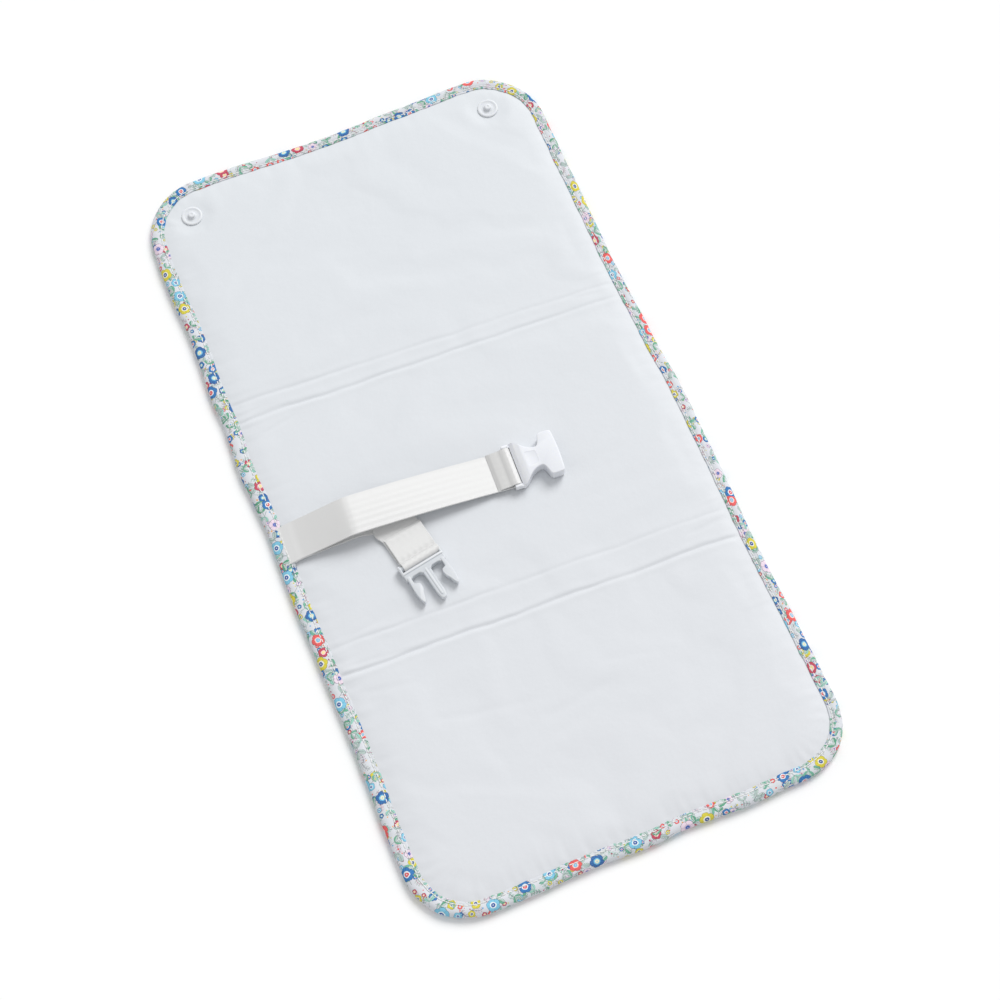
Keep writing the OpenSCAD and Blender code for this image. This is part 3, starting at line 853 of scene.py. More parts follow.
def relax_cover():
    """Height change of the face when it buckles as slack cloth held at the binding."""
    inset = outline_at(GRID_X, GRID_Y)[0]
    use = inset > 5.0
    index = -np.ones(use.shape, int)
    index[use] = np.arange(use.sum())
    start = np.stack([GRID_X, GRID_Y, crown(inset)], -1)[use]
    x, y = start[:, 0], start[:, 1]
    ripple = 0.15 * noise(x, y, 71, cell=25)
    start[:, 2] += ripple
    j, i = np.nonzero(use[:-1, :-1] & use[1:, :-1] & use[:-1, 1:] & use[1:, 1:])
    faces = np.stack([index[j, i], index[j, i + 1], index[j + 1, i + 1], index[j + 1, i]], 1)
    mesh = bpy.data.meshes.new("cover_sim")
    mesh.from_pydata((start * MM).tolist(), [], faces.tolist())
    cover = add_object("cover_sim", mesh)
    group = cover.vertex_groups.new(name="held")
    levels = np.round(hold_weights(x, y, inset[use]) * HOLD_LEVELS).astype(int)
    for level in range(1, HOLD_LEVELS + 1):
        chosen = np.nonzero(levels == level)[0]
        if len(chosen):
            group.add(chosen.tolist(), level / HOLD_LEVELS, "REPLACE")
    cloth = cover.modifiers.new("Cloth", "CLOTH")
    for key, value in CLOTH.items():
        setattr(cloth.settings, key, value)
    cloth.settings.effector_weights.gravity = 0
    cloth.point_cache.frame_start = 1
    cloth.point_cache.frame_end = CLOTH_FRAMES
    for number in range(1, CLOTH_FRAMES + 1):
        scene.frame_set(number)
    relaxed = cover.evaluated_get(bpy.context.evaluated_depsgraph_get())
    places = np.zeros(len(relaxed.data.vertices) * 3, np.float32)
    relaxed.data.vertices.foreach_get("co", places)
    places = places.reshape(-1, 3) * 1000
    bpy.data.objects.remove(cover)
    scene.frame_set(1)
    change = np.zeros(use.shape)
    change[use] = places[:, 2] - start[:, 2] + ripple
    if not np.isfinite(change).all():       # guards against a simulation that has blown up
        change = np.zeros(use.shape)
    return change


def blur(a):
    p = np.pad(a, 1, mode="edge")
    sides = p[:-2, 1:-1] + p[2:, 1:-1] + p[1:-1, :-2] + p[1:-1, 2:]
    corners = p[:-2, :-2] + p[:-2, 2:] + p[2:, :-2] + p[2:, 2:]
    return (p[1:-1, 1:-1] * 4 + 2 * sides + corners) / 16


def double_rows(values):
    """Puts a row between each two, on a cubic through the old rows."""
    p = np.vstack([2 * values[:1] - values[1:2], values, 2 * values[-1:] - values[-2:-1]])
    doubled = np.zeros((len(values) * 2 - 1, values.shape[1]))
    doubled[::2] = values
    doubled[1::2] = (-p[:-3] + 9 * p[1:-2] + 9 * p[2:-1] - p[3:]) / 16
    return doubled


def quad_middles(grid_x, grid_y):
    """Inset and y of the middle of each quad."""
    x = (grid_x[:-1, :-1] + grid_x[1:, 1:]) / 2
    y = (grid_y[:-1, :-1] + grid_y[1:, 1:]) / 2
    return outline_at(x, y)[0], y


def build_face():
    buckle = relax_cover()
    buckle = double_rows(double_rows(blur(buckle)).T).T
    fine_x = np.linspace(COLUMN_X[0], COLUMN_X[-1], len(COLUMN_X) * 2 - 1)
    fine_y = np.linspace(ROW_Y[0], ROW_Y[-1], len(ROW_Y) * 2 - 1)
    # further rows near the fold marks
    extra = [y for y in (fine_y[:-1] + fine_y[1:]) / 2
             if min(abs(y - crease[0]) for crease in CREASES) < 11]
    rows_y = np.sort(np.concatenate([fine_y, extra]))
    buckle = np.stack([np.interp(rows_y, fine_y, column) for column in buckle.T], 1)
    x, y = np.meshgrid(fine_x, rows_y)
    inset = outline_at(x, y)[0]
    buckle = np.clip(buckle - np.median(buckle[inset > 25]), -1.6, 1.9)
    z = face_height(x, y) + 0.15 * buckle * smooth(11, 26, inset)
    z = np.where(z > 7.25, 7.25 + 0.45 * np.tanh((z - 7.25) / 0.45), z)     # soft ceiling
    points = bow_outline(np.stack([x, y, z], -1))
    normals = grid_normals(points)
    middle_inset, middle_y = quad_middles(x, y)
    for zone in ZONES:
        quads = (middle_inset > 7.5) & (middle_y > zone.low) & (middle_y < zone.high)
        piece = sheet("face_cover_" + zone.name, points, normals, quads, 1.1, FACE_CLOTH,
                      np.stack([x, y], -1))
        replaced = []
        for part in zone.parts:
            face = "_face" if part.endswith("fold") else "_face_cover"
            replaced += [part + face, part + "_wadding"]
        fit_to_zone(piece, zone, replaced)


build_face()


# ---------------------------------------------------------------- the outer cover underneath
def backing_height():
    x, y = GRID_X, GRID_Y
    inset, edge_x, edge_y, _, _ = outline_at(x, y)
    z = (0.15 + 0.35 * (1 - smooth(8, 13, inset))
         + 0.22 * smooth(12, 40, inset) * (0.6 + noise(x / 48, y / 52, 31))
         + 0.10 * smooth(10, 16, inset) * (noise(x / 14, y / 13, 32) + 0.6))
    z = z + (0.30 * np.exp(-np.maximum(inset - 10, 0) / 6.0) * smooth(9.5, 13, inset)
             * (0.5 + noise(edge_x, edge_y, 33, cell=6)))
    for crease in CREASES[:3]:
        z = z + 0.35 * np.exp(-((y - crease[0]) / 2.6) ** 2) * smooth(10, 15, inset)
    return np.maximum(z, 0.02)


def build_backing():
    points = bow_outline(np.stack([GRID_X, GRID_Y, backing_height()], -1))
    middle_inset, middle_y = quad_middles(GRID_X, GRID_Y)
    hole = np.zeros(middle_y.shape, bool)
    for sign in (-1, 1):    # the cover opens round each snap socket, under its ring
        centre_x = sign * RECESS_X
        dx, dy = points[..., 0] - centre_x, points[..., 1] - RECESS_Y
        r = np.maximum(np.hypot(dx, dy), 1e-3)
        push = np.where(r < 12, (4.6 + r * 7.4 / 12) / r, 1.0)
        points[..., 0] = centre_x + dx * push
        points[..., 1] = RECESS_Y + dy * push
        hole |= ((GRID_X[:-1, :-1] <= centre_x) & (GRID_X[1:, 1:] > centre_x)
                 & (GRID_Y[:-1, :-1] <= RECESS_Y) & (GRID_Y[1:, 1:] > RECESS_Y))
    normals = -grid_normals(points)
    for zone in ZONES:
        quads = (middle_inset > 7.0) & (middle_y > zone.low) & (middle_y < zone.high) & ~hole
        piece = sheet("outer_cover_" + zone.name, points, normals, quads, 1.0, BACKING_CLOTH,
                      np.stack([GRID_X, GRID_Y], -1), from_below=True)
        fit_to_zone(piece, zone, [part + "_backing" for part in zone.parts])


build_backing()


# ---------------------------------------------------------------- the bias binding
def perimeter(step):
    """Points once round the outline from the lower right, their outward directions, the
    distance run at each and the whole distance. Rows fall exactly on the split lines."""
    a, b = HALF_WIDTH, HALF_LENGTH
    flat_x, flat_y = a - CORNER_RADIUS, b - CORNER_RADIUS
    cuts = [-flat_y, LOWER_SPLIT, MIDDLE_SPLIT, UPPER_SPLIT, flat_y]
    sides = [     # straight stops, then the centre of the corner that follows
        ([(a, y) for y in cuts], (flat_x, flat_y)),
        ([(flat_x, b), (0, b), (-flat_x, b)], (-flat_x, flat_y)),
        ([(-a, y) for y in cuts[::-1]], (-flat_x, -flat_y)),
        ([(-flat_x, -b), (0, -b), (flat_x, -b)], (flat_x, -flat_y)),
    ]
    points, outward, runs = [], [], []
    run = 0.0
    for quarter, (stops, centre) in enumerate(sides):
        for start, end in zip(np.array(stops[:-1], float), np.array(stops[1:], float)):
            length = np.linalg.norm(end - start)
            count = max(1, round(length / step))
            along = (end - start) / length
            for k in range(count):
                points.append(start + along * length * k / count)
                outward.append(np.array([along[1], -along[0]]))
                runs.append(run + length * k / count)
            run += length
        length = CORNER_RADIUS * math.pi / 2
        count = round(length / step)
        for k in range(count):
            angle = math.radians(90 * quarter + 90.0 * k / count)
            out = np.array([math.cos(angle), math.sin(angle)])
            points.append(np.array(centre) + CORNER_RADIUS * out)
            outward.append(out)
            runs.append(run + length * k / count)
        run += length
    return np.array(points), np.array(outward), np.array(runs), run


EDGE_POINTS, EDGE_OUTWARD, EDGE_RUN, EDGE_LENGTH = perimeter(1.8)
# (inset, height): the outer skin from the fold on top, round the edge, to the fold underneath
BINDING_SKIN = [
    (10.45, 5.30), (10.72, 5.55), (10.72, 5.80), (10.45, 5.98), (9.9, 6.08), (9.2, 6.06),
    (8.75, 5.94), (8.3, 5.88), (7.85, 5.98), (7.3, 6.24), (6.2, 6.52), (4.9, 6.55), (3.6, 6.42),
    (2.4, 6.10), (1.3, 5.50), (0.45, 4.65), (0.0, 3.65), (-0.05, 2.75), (0.3, 1.80), (1.0, 1.00),
    (2.1, 0.42), (3.6, 0.14), (5.6, 0.06), (7.4, 0.12), (8.3, 0.34), (9.2, 0.10), (10.1, 0.04),
    (10.6, 0.22), (10.7, 0.60),
]
# (inset, height): back inside the tape
BINDING_LINING = [
    (10.3, 0.95), (7.0, 1.0), (3.6, 1.05), (1.8, 1.9), (1.4, 3.2), (1.9, 4.5), (3.7, 5.3),
    (7.0, 5.25), (10.0, 5.15),
]
STITCH_INSET = 8.3


def binding_point(edge, outward, inset, z, pucker):
    """Place on the binding. pucker is 1 where the tape puckers and 0 where it doesn't."""
    edge_x, edge_y = edge[..., 0], edge[..., 1]
    out_x, out_y = outward[..., 0], outward[..., 1]
    top = smooth(2.0, 5.0, z)
    # the tape's width differs from side to side
    width = (out_x ** 2 * np.where(out_x > 0, 0.80, 1.03)
             + out_y ** 2 * np.where(out_y > 0, 0.87, 0.97))
    inset = np.where(inset > 0, inset * width, inset)
    uneven = (0.45 * noise(edge_x, edge_y, 21, cell=9)
              + 0.22 * noise(edge_x, edge_y, 22, cell=3.7))
    inset = inset + smooth(4.0, 10.0, inset) * uneven
    puckers = (0.20 * noise(edge_x, edge_y, 23, cell=5.1)
               + 0.13 * noise(edge_x, edge_y, 24, cell=2.6))
    z = z + np.where(z > 3.2, 1, -0.35) * puckers * smooth(0.5, 4.0, inset) * pucker
    # it lifts over the straps where they leave the seam
    lift = (1 - smooth(12.5, 19.0, np.abs(edge_y - STRAP_Y))) * (edge_x < 0)
    lift = lift * (np.abs(edge_x) > HALF_WIDTH - 1)
    z = z + lift * top * smooth(3.0, 9.0, inset) * 1.35
    x, y = edge_x - out_x * inset, edge_y - out_y * inset
    return bow_outline(np.stack([x, y, np.maximum(z, 0.0)], -1))


def build_binding():
    profile = np.array(BINDING_SKIN + BINDING_LINING)
    pucker = np.arange(len(profile)) < len(BINDING_SKIN)
    points = binding_point(EDGE_POINTS[:, None], EDGE_OUTWARD[:, None],
                           profile[None, :, 0], profile[None, :, 1], pucker[None])
    rows, ring = points.shape[:2]
    along_edge = np.roll(points, -1, 0) - np.roll(points, 1, 0)
    along_profile = np.roll(points, -1, 1) - np.roll(points, 1, 1)
    normals = unit(np.cross(along_profile, along_edge))
    profile_run = np.concatenate([[0], np.cumsum(np.hypot(*np.diff(profile, axis=0).T))])
    middle_y = (EDGE_POINTS[:, 1] + np.roll(EDGE_POINTS[:, 1], -1)) / 2
    for zone in ZONES:
        spans = np.nonzero((middle_y > zone.low) & (middle_y < zone.high))[0].tolist()
        used = sorted(set(spans) | {(row + 1) % rows for row in spans})
        first_vert = {row: k * ring for k, row in enumerate(used)}
        faces = []
        for row in spans:
            a, b = first_vert[row], first_vert[(row + 1) % rows]
            for k in range(ring):
                after = (k + 1) % ring
                faces.append((a + k, a + after, b + after, b + k))
        span_set = set(spans)
        for row in spans:       # close the cut ends
            following = (row + 1) % rows
            if (row - 1) % rows not in span_set:
                faces.append(tuple(first_vert[row] + k for k in range(ring)))
            if following not in span_set:
                faces.append(tuple(first_vert[following] + k for k in range(ring))[::-1])
        uv = np.stack(np.meshgrid(EDGE_RUN[used], profile_run, indexing="ij"), -1)
        piece = mesh_object("binding_" + zone.name, points[used].reshape(-1, 3), faces,
                            uv.reshape(-1, 2), BINDING_CLOTH, normals[used].reshape(-1, 3))
        fit_to_zone(piece, zone, [part + "_binding" for part in zone.parts])


build_binding()


# ---------------------------------------------------------------- topstitching
def capsule(half, radius, sides):
    """A round-ended stitch along x."""
    rings = [(-half - radius * 0.9, 0.25 * radius), (-half - radius * 0.4, 0.8 * radius),
             (-half * 0.5, radius)]
    rings += [(-x, r) for x, r in rings[::-1]]
    angles = [2 * math.pi * k / sides for k in range(sides)]
    verts = [(x, r * math.cos(angle), r * math.sin(angle)) for x, r in rings for angle in angles]
    faces = []
    for start in range(0, (len(rings) - 1) * sides, sides):
        for k in range(sides):
            after = (k + 1) % sides
            faces.append((start + k, start + after, start + sides + after, start + sides + k))
    faces.append(tuple(range(sides))[::-1])
    faces.append(tuple((len(rings) - 1) * sides + k for k in range(sides)))
    return np.array(verts), faces


def edge_at(run):
    """Outline point and outward direction at a distance run."""
    run = run % EDGE_LENGTH
    i = np.searchsorted(EDGE_RUN, run, side="right") - 1
    after = (i + 1) % len(EDGE_RUN)
    end = EDGE_RUN[after] if after else EDGE_LENGTH
    weight = (run - EDGE_RUN[i]) / (end - EDGE_RUN[i])
    point = EDGE_POINTS[i] * (1 - weight) + EDGE_POINTS[after] * weight
    outward = EDGE_OUTWARD[i] * (1 - weight) + EDGE_OUTWARD[after] * weight
    return point, outward / np.linalg.norm(outward)


def stitches(name, height, facing, seed):
    """A row of separate stitches round the binding. facing is 1 on top and -1 underneath."""
    count = int(EDGE_LENGTH / 3.75)
    pitch = EDGE_LENGTH / count
    shape, shape_faces = capsule(half=1.15, radius=0.40, sides=7)
    random = np.random.RandomState(seed)
    placed = []
    for k in range(count):
        run = (k + 0.5) * pitch
        start, end = (binding_point(point[None], outward[None], STITCH_INSET, height, 1.0)[0]
                      for point, outward in (edge_at(run - 1.5), edge_at(run + 1.5)))
        along = (end - start) / np.linalg.norm(end - start)
        side = np.cross((0, 0, facing), along)
        side /= np.linalg.norm(side)
        up = np.cross(along, side)
        yaw = random.uniform(-0.05, 0.05)
        turned_along = along * math.cos(yaw) + side * math.sin(yaw)
        turned_side = np.cross(up, turned_along)
        centre = (start + end) / 2 + up * 0.16 + side * random.uniform(-0.08, 0.08)
        verts = (centre + shape[:, :1] * turned_along + shape[:, 1:2] * turned_side
                 + shape[:, 2:3] * up * 0.8)
        placed.append((centre[1], verts, shape[:, :2] + (k * 1.7, 0)))
    for zone in ZONES:
        chosen = [stitch for stitch in placed if zone.low <= stitch[0] < zone.high]
        faces = [tuple(n * len(shape) + i for i in face)
                 for n in range(len(chosen)) for face in shape_faces]
        piece = mesh_object(name + "_" + zone.name, np.vstack([stitch[1] for stitch in chosen]),
                            faces, np.vstack([stitch[2] for stitch in chosen]), THREAD)
        fit_to_zone(piece, zone)


stitches("topstitch", height=6.02, facing=1, seed=4)
stitches("understitch", height=0.28, facing=-1, seed=5)


# ---------------------------------------------------------------- press snaps
def lathe_pair(name, profile, x, y, segments=72):
    """The profile of (radius, z) turned about an upright axis at -x and at +x."""
    profile = np.array(profile, float)
    angles = np.arange(segments) * 2 * math.pi / segments
    verts, faces = [], []
    for centre_x in (-x, x):
        base = len(verts) * len(profile) * segments
        radius = profile[:, :1]
        verts.append(np.stack([radius * np.cos(angles) + centre_x, radius * np.sin(angles) + y,
                               profile[:, 1:] + 0 * angles], -1).reshape(-1, 3))
        last = base + (len(profile) - 1) * segments
        for start in range(base, last, segments):
            for k in range(segments):
                after = (k + 1) % segments
                faces.append((start + k, start + after,
                              start + segments + after, start + segments + k))
        faces.append(tuple(base + k for k in range(segments))[::-1])
        faces.append(tuple(last + k for k in range(segments)))
    verts = np.vstack(verts)
    piece = mesh_object(name, verts, faces, verts[:, :2], SNAP_PLASTIC, sharp=38)
    turn_faces_out(piece)
    return piece


STUD_PROFILE = [    # radius, height over the mat's edge
    (1.4, -1.6), (1.4, -0.2), (6.6, -0.15), (7.4, -0.05), (7.85, 0.25), (7.95, 0.6), (7.8, 0.95),
    (7.4, 1.22), (6.9, 1.30), (6.4, 1.24), (6.0, 1.10), (5.6, 0.95), (5.0, 0.88), (4.2, 0.88),
    (3.7, 0.94), (3.45, 0.95), (3.3, 1.3), (2.65, 1.5), (2.4, 1.75), (2.35, 2.1), (2.5, 2.5),
    (2.52, 2.85), (2.3, 3.2), (1.8, 3.42), (1.15, 3.48), (0.8, 3.38), (0.3, 3.15),
]
RECESS_PROFILE = [  # radius, z
    (0.4, 2.75), (2.9, 2.7), (3.05, 2.4), (3.05, 1.2), (3.15, 0.75), (3.5, 0.42), (4.2, 0.22),
    (4.9, 0.20), (5.5, 0.32), (5.9, 0.36), (6.6, 0.22), (7.2, 0.14), (7.65, 0.24), (7.85, 0.5),
    (7.8, 0.8), (7.4, 1.0), (4.6, 1.1), (4.5, 3.3), (0.4, 3.35),
]
mount(lathe_pair("snap_studs_moulded", [(r, EDGE_TOP + z) for r, z in STUD_PROFILE],
                 STUD_X, STUD_Y),
      "upper_panel", "snap_plastic", "snap_studs", "snap_stud_caps")
mount(lathe_pair("snap_sockets_moulded", RECESS_PROFILE, RECESS_X, RECESS_Y),
      "lower_panel", "snap_plastic", "snap_sockets", "snap_socket_rings")

# ---------------------------------------------------------------- straps
LOOP = 1.95 + WEB_THICK / 2     # radius of the webbing's middle round a bar
LONG_ANGLE = math.atan2(SOCKET_BAR[1] - STRAP_Y, SOCKET_BAR[0] - SEAM_X)
LONG_REACH = math.hypot(SOCKET_BAR[0] - SEAM_X, SOCKET_BAR[1] - STRAP_Y)


def bar_loop(x, z):
    """Half a turn round a bar, from under it to over it."""
    return [(x + LOOP * math.sin(angle), z - LOOP * math.cos(angle))
            for angle in np.linspace(0.0, math.pi, 13)]


def hang_strap(piece, body, *replaced):
    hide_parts(*replaced)
    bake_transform(piece)


def build_long_strap():
    """Rises from the seam over a crest, loops round the socket's bar and doubles back."""
    end, bar_z = LONG_REACH, SOCKET_BAR[2]
    over = bar_z + LOOP
    side_view = [       # distance from the seam, z
        (-5.5, 6.05), (-1.5, 6.95), (2.2, 8.3), (7, 10.0), (18, 12.7), (31, 16.3), (43, 19.7),
        (48.5, 20.45), (56, 20.15), (84, 18.0), (108, 15.6), (132, 12.9), (end - 20, 10.95),
        (end - 10, 9.7), (end - 4, bar_z - LOOP + 0.12), *bar_loop(end, bar_z),
        (end - 2.4, over - 0.22), (end - 4.3, over - 0.95), (end - 5.8, over - 1.35),
        (end - 8.5, over - 1.62), (end - 12.0, over - 2.15), (end - 14.6, over - 2.42),
    ]
    path, run = smooth_path(side_view, 0.9)
    along, height = path[:, :1], path[:, 1:]
    turn_run = float(run[np.argmax(path[:, 0])])
    crest_run = float(run[np.argmax(path[:, 1] * (path[:, 0] < 100))])
    # painted shade on the ramp up to the crest and on the turned-back end, and a faint painted
    # dark line in the crease
    material = webbing_material("webbing_long", painted_shade_end=crest_run - 1.5, painted_shade_mix=0.19,
                                crease_at=turn_run + 8.6, crease_shade_mix=0.08,
                                tail_shade_from=turn_run + 4.4, tail_shade_mix=0.26)
    tangent = np.gradient(path, axis=0)
    tangent /= np.linalg.norm(tangent, axis=1)[:, None]
    # the raised part crowns and tips a little across its width, the doubled end doesn't
    edge = WEB_COLUMNS[None] / WEB_HALF
    first_part = (np.arange(len(path)) < len(path) * 0.8)[:, None]
    arch = np.exp(-((along - 60) / 48) ** 2)
    z = height + arch * (-0.55 * edge ** 2 + 0.5 * edge) * first_part
    across = WEB_COLUMNS[None] * (1 + 0.006 * noise(run / 11, 0, 41))[:, None]
    across = across + 0.8 * np.sin(np.clip(along / end, 0, 1) * math.pi)
    cosine, sine = math.cos(LONG_ANGLE), math.sin(LONG_ANGLE)
    middle = np.stack([SEAM_X + along * cosine - across * sine,
                       STRAP_Y + along * sine + across * cosine, z], -1)
    normals = np.stack([-tangent[:, 1] * cosine, -tangent[:, 1] * sine, tangent[:, 0]], -1)
    uv = np.stack(np.meshgrid(run, WEB_COLUMNS, indexing="ij"), -1)
    piece = ribbon("long_strap_webbing", middle, normals[:, None], material, uv, taper=-1)
    hang_strap(piece, "long_strap", "long_webbing", "long_webbing_end")


build_long_strap()

PLUG_ANGLE = math.atan2(-PLUG_AXIS[1], -PLUG_AXIS[0])       # direction across the plug
PLUG_ACROSS = np.array([math.cos(PLUG_ANGLE), math.sin(PLUG_ANGLE)])
PLUG_ALONG = np.array([math.sin(PLUG_ANGLE), -math.cos(PLUG_ANGLE)])


def build_short_strap():
    """Runs in under the long strap, turns over on a diagonal and loops round the plug's bar."""
    bar_x, bar_y, bar_z = PLUG_BAR
    run_z = FACE_TOP + 0.1 + WEB_THICK / 2
    bend_radius = 0.69
    fold_length = math.pi * bend_radius
    to_bar = (STRAP_Y - bar_y) / math.cos(PLUG_ANGLE)
    fold_x = bar_x - to_bar * math.sin(PLUG_ANGLE)          # middle of the diagonal
    fold_angle = (math.pi / 2 - PLUG_ANGLE) / 2
    fold_along = (math.cos(fold_angle), -math.sin(fold_angle))
    fold_across = (math.sin(fold_angle), math.cos(fold_angle))
    leg_start, leg_z = -30.0, run_z + 2 * bend_radius
    side_view = [       # distance past the bar, z
        (leg_start, leg_z), (-26.5, leg_z - 0.02), (-21.5, leg_z - 0.65), (-16.5, run_z + 0.15),
        (-9, bar_z - LOOP + 0.02), (-3.0, bar_z - LOOP), *bar_loop(0, bar_z),
        (-1.6, bar_z + LOOP - 0.40), (-2.75, bar_z + LOOP - 1.45), (-3.3, bar_z - 0.1),
        (-4.2, bar_z - 0.95), (-5.4, bar_z - 0.80), (-7.5, bar_z - 0.30), (-11, bar_z - 0.20),
        (-15, bar_z - 0.35), (-19.5, bar_z - 0.30), (-24, leg_z + 1.38), (-27.2, leg_z + 1.42),
    ]
    leg, leg_run = smooth_path(side_view, 0.5)
    total = (fold_x - SEAM_X) + (to_bar + leg_start) + leg_run[-1]
    # distance from the seam, z
    root_x, root_z = np.array([(-6, 4.6), (-1.5, 5.25), (1.5, 6.3), (4.5, 7.5), (8, 8.3),
                               (14, run_z), (200, run_z)]).T

    def middle_at(run, across):
        x, y = SEAM_X + run, STRAP_Y + across
        past = (x - fold_x) * fold_across[0] + (y - STRAP_Y) * fold_across[1]
        along = (x - fold_x) * fold_along[0] + (y - STRAP_Y) * fold_along[1]
        bend = np.clip(past / bend_radius, 0, math.pi)
        turned_over = past > fold_length
        folded = np.where(past < fold_length, bend_radius * np.sin(bend), fold_length - past)
        folded = np.where(past < 0, past, folded)
        z = np.where(past < 0, np.interp(run, root_x, root_z),
                     run_z + bend_radius * (1 - np.cos(bend)))
        x = fold_x + along * fold_along[0] + folded * fold_across[0]
        y = STRAP_Y + along * fold_along[1] + folded * fold_across[1]
        # the leg, in the plug's own directions
        u = (x - bar_x) * PLUG_ALONG[0] + (y - bar_y) * PLUG_ALONG[1]
        v = (x - bar_x) * PLUG_ACROSS[0] + (y - bar_y) * PLUG_ACROSS[1]
        t = u - leg_start
        on_leg = turned_over & (t > 0)
        u = np.where(on_leg, np.interp(t, leg_run, leg[:, 0]), u)
        z = np.where(on_leg, np.interp(t, leg_run, leg[:, 1]), z)
        # the lower layer sits a little to one side of its turned-back tail
        v = v - 1.1 * (1 - smooth(16, 34, t)) * turned_over
        x = bar_x + u * PLUG_ALONG[0] + v * PLUG_ACROSS[0]
        y = bar_y + u * PLUG_ALONG[1] + v * PLUG_ACROSS[1]
        # slack bellies out at the inner corner of the turn
        slack = 3.4 * np.exp(-(((x + 86.5) / 8.0) ** 2 + ((y + 23.5) / 6.5) ** 2))
        slack = slack * (1 - smooth(3, 9, t))
        return np.stack([x - 0.62 * slack, y - 0.78 * slack, z], -1)

    rows = np.concatenate([np.arange(-5.5, 40, 1.2), np.arange(40, total, 0.62), [total]])
    run, across = np.meshgrid(rows, WEB_COLUMNS, indexing="ij")
    # the crease lies just past the bar, on the turned-back half of the leg
    off_crease = np.abs(leg[:, 0] + 4.1) + 50 * (leg_run < leg_run[-1] * 0.5)
    crease = float(total - leg_run[-1] + leg_run[np.argmin(off_crease)])
    # painted shade over the strap past its root, and a painted dark line in the crease past the
    # bar
    material = webbing_material("webbing_short", painted_shade_end=1e6, painted_shade_mix=0.07,
                                crease_at=crease, crease_shade_mix=0.42)
    e = 0.05
    normals = np.cross(middle_at(run + e, across) - middle_at(run - e, across),
                       middle_at(run, across + e) - middle_at(run, across - e))
    normals /= np.maximum(np.linalg.norm(normals, axis=-1), 1e-12)[..., None]
    piece = ribbon("short_strap_webbing", middle_at(run, across), normals, material,
                   np.stack([run, across], -1), taper=1)
    hang_strap(piece, "short_strap", "short_webbing", "short_webbing_end")


build_short_strap()


# ---------------------------------------------------------------- solid parts
def place(piece, origin, direction):
    """Moves a piece built along local X to the origin given, along direction."""
    turn = Matrix.Rotation(math.atan2(direction[1], direction[0]), 4, "Z")
    piece.data.transform(Matrix.Translation(Vector(origin) * MM) @ turn)
    piece.data.update()


def turn_about_x(bm):
    bmesh.ops.rotate(bm, verts=bm.verts, cent=(0, 0, 0),
                     matrix=Matrix.Rotation(math.pi / 2, 3, "X"))


def bmesh_object(bm, name="part"):
    mesh = bpy.data.meshes.new(name)
    bm.to_mesh(mesh)
    bm.free()
    return add_object(name, mesh)


def plate_bmesh(outline, low, high, bevel, segments=3):
    """An outline raised from low to high with rounded rims."""
    bm = bmesh.new()
    base = bm.faces.new([bm.verts.new((x * MM, y * MM, low * MM)) for x, y in outline])
    raised = bmesh.ops.extrude_face_region(bm, geom=[base])["geom"]
    bmesh.ops.translate(bm, verts=[v for v in raised if isinstance(v, bmesh.types.BMVert)],
                        vec=(0, 0, (high - low) * MM))
    bmesh.ops.recalc_face_normals(bm, faces=bm.faces)
    if bevel > 0:
        rims = [e for e in bm.edges if abs(e.verts[0].co.z - e.verts[1].co.z) < 1e-7]
        bmesh.ops.bevel(bm, geom=rims, offset=bevel * MM, segments=segments, profile=0.5,
                        affect="EDGES", clamp_overlap=True)
    return bm


def plate(*args, **options):
    return bmesh_object(plate_bmesh(*args, **options))


def mirrored(half, middle=()):
    """The half outline, the middle points and the half again across the x axis."""
    return [*half, *middle, *((x, -y) for x, y in half[::-1])]


def round_poly(points, radius, count=5):
    """Rounds each corner of a polygon with count points."""
    p = np.array(points, float)
    rounded = []
    for before, corner, after in zip(np.roll(p, 1, 0), p, np.roll(p, -1, 0)):
        back, ahead = before - corner, after - corner
        back_length, ahead_length = np.linalg.norm(back), np.linalg.norm(ahead)
        cut = min(radius, back_length * 0.45, ahead_length * 0.45)
        start, end = corner + back / back_length * cut, corner + ahead / ahead_length * cut
        for t in np.linspace(0, 1, count):
            rounded.append(tuple((1 - t) ** 2 * start + 2 * t * (1 - t) * corner + t * t * end))
    return rounded


def brick(x0, x1, y0, y1, low, high, bevel, radius=1.0):
    return plate(round_poly([(x0, y0), (x1, y0), (x1, y1), (x0, y1)], radius), low, high, bevel)


def rod(length, radius=1.85):
    """A round bar along local Y."""
    bm = bmesh.new()
    bmesh.ops.create_cone(bm, cap_ends=True, segments=40, radius1=radius * MM,
                          radius2=radius * MM, depth=length * MM)
    turn_about_x(bm)
    return bmesh_object(bm)


def merge(name, solids, material, cuts=()):
    """Joins closed shells, then cuts others out, and gives one smooth-shaded object."""
    base = solids[0]
    for operation, others in (("UNION", solids[1:]), ("DIFFERENCE", cuts)):
        for other in others:
            boolean = base.modifiers.new("b", "BOOLEAN")
            boolean.operation = operation
            boolean.solver = "EXACT"
            boolean.object = other
    depsgraph = bpy.context.evaluated_depsgraph_get()
    mesh = bpy.data.meshes.new_from_object(base.evaluated_get(depsgraph))
    mesh.name = name
    for solid in [*solids, *cuts]:
        bpy.data.objects.remove(solid)
    mesh.polygons.foreach_set("use_smooth", np.ones(len(mesh.polygons), bool))
    mesh.set_sharp_from_angle(angle=math.radians(32))
    mesh.materials.clear()
    mesh.materials.append(material)
    return add_object(name, mesh)


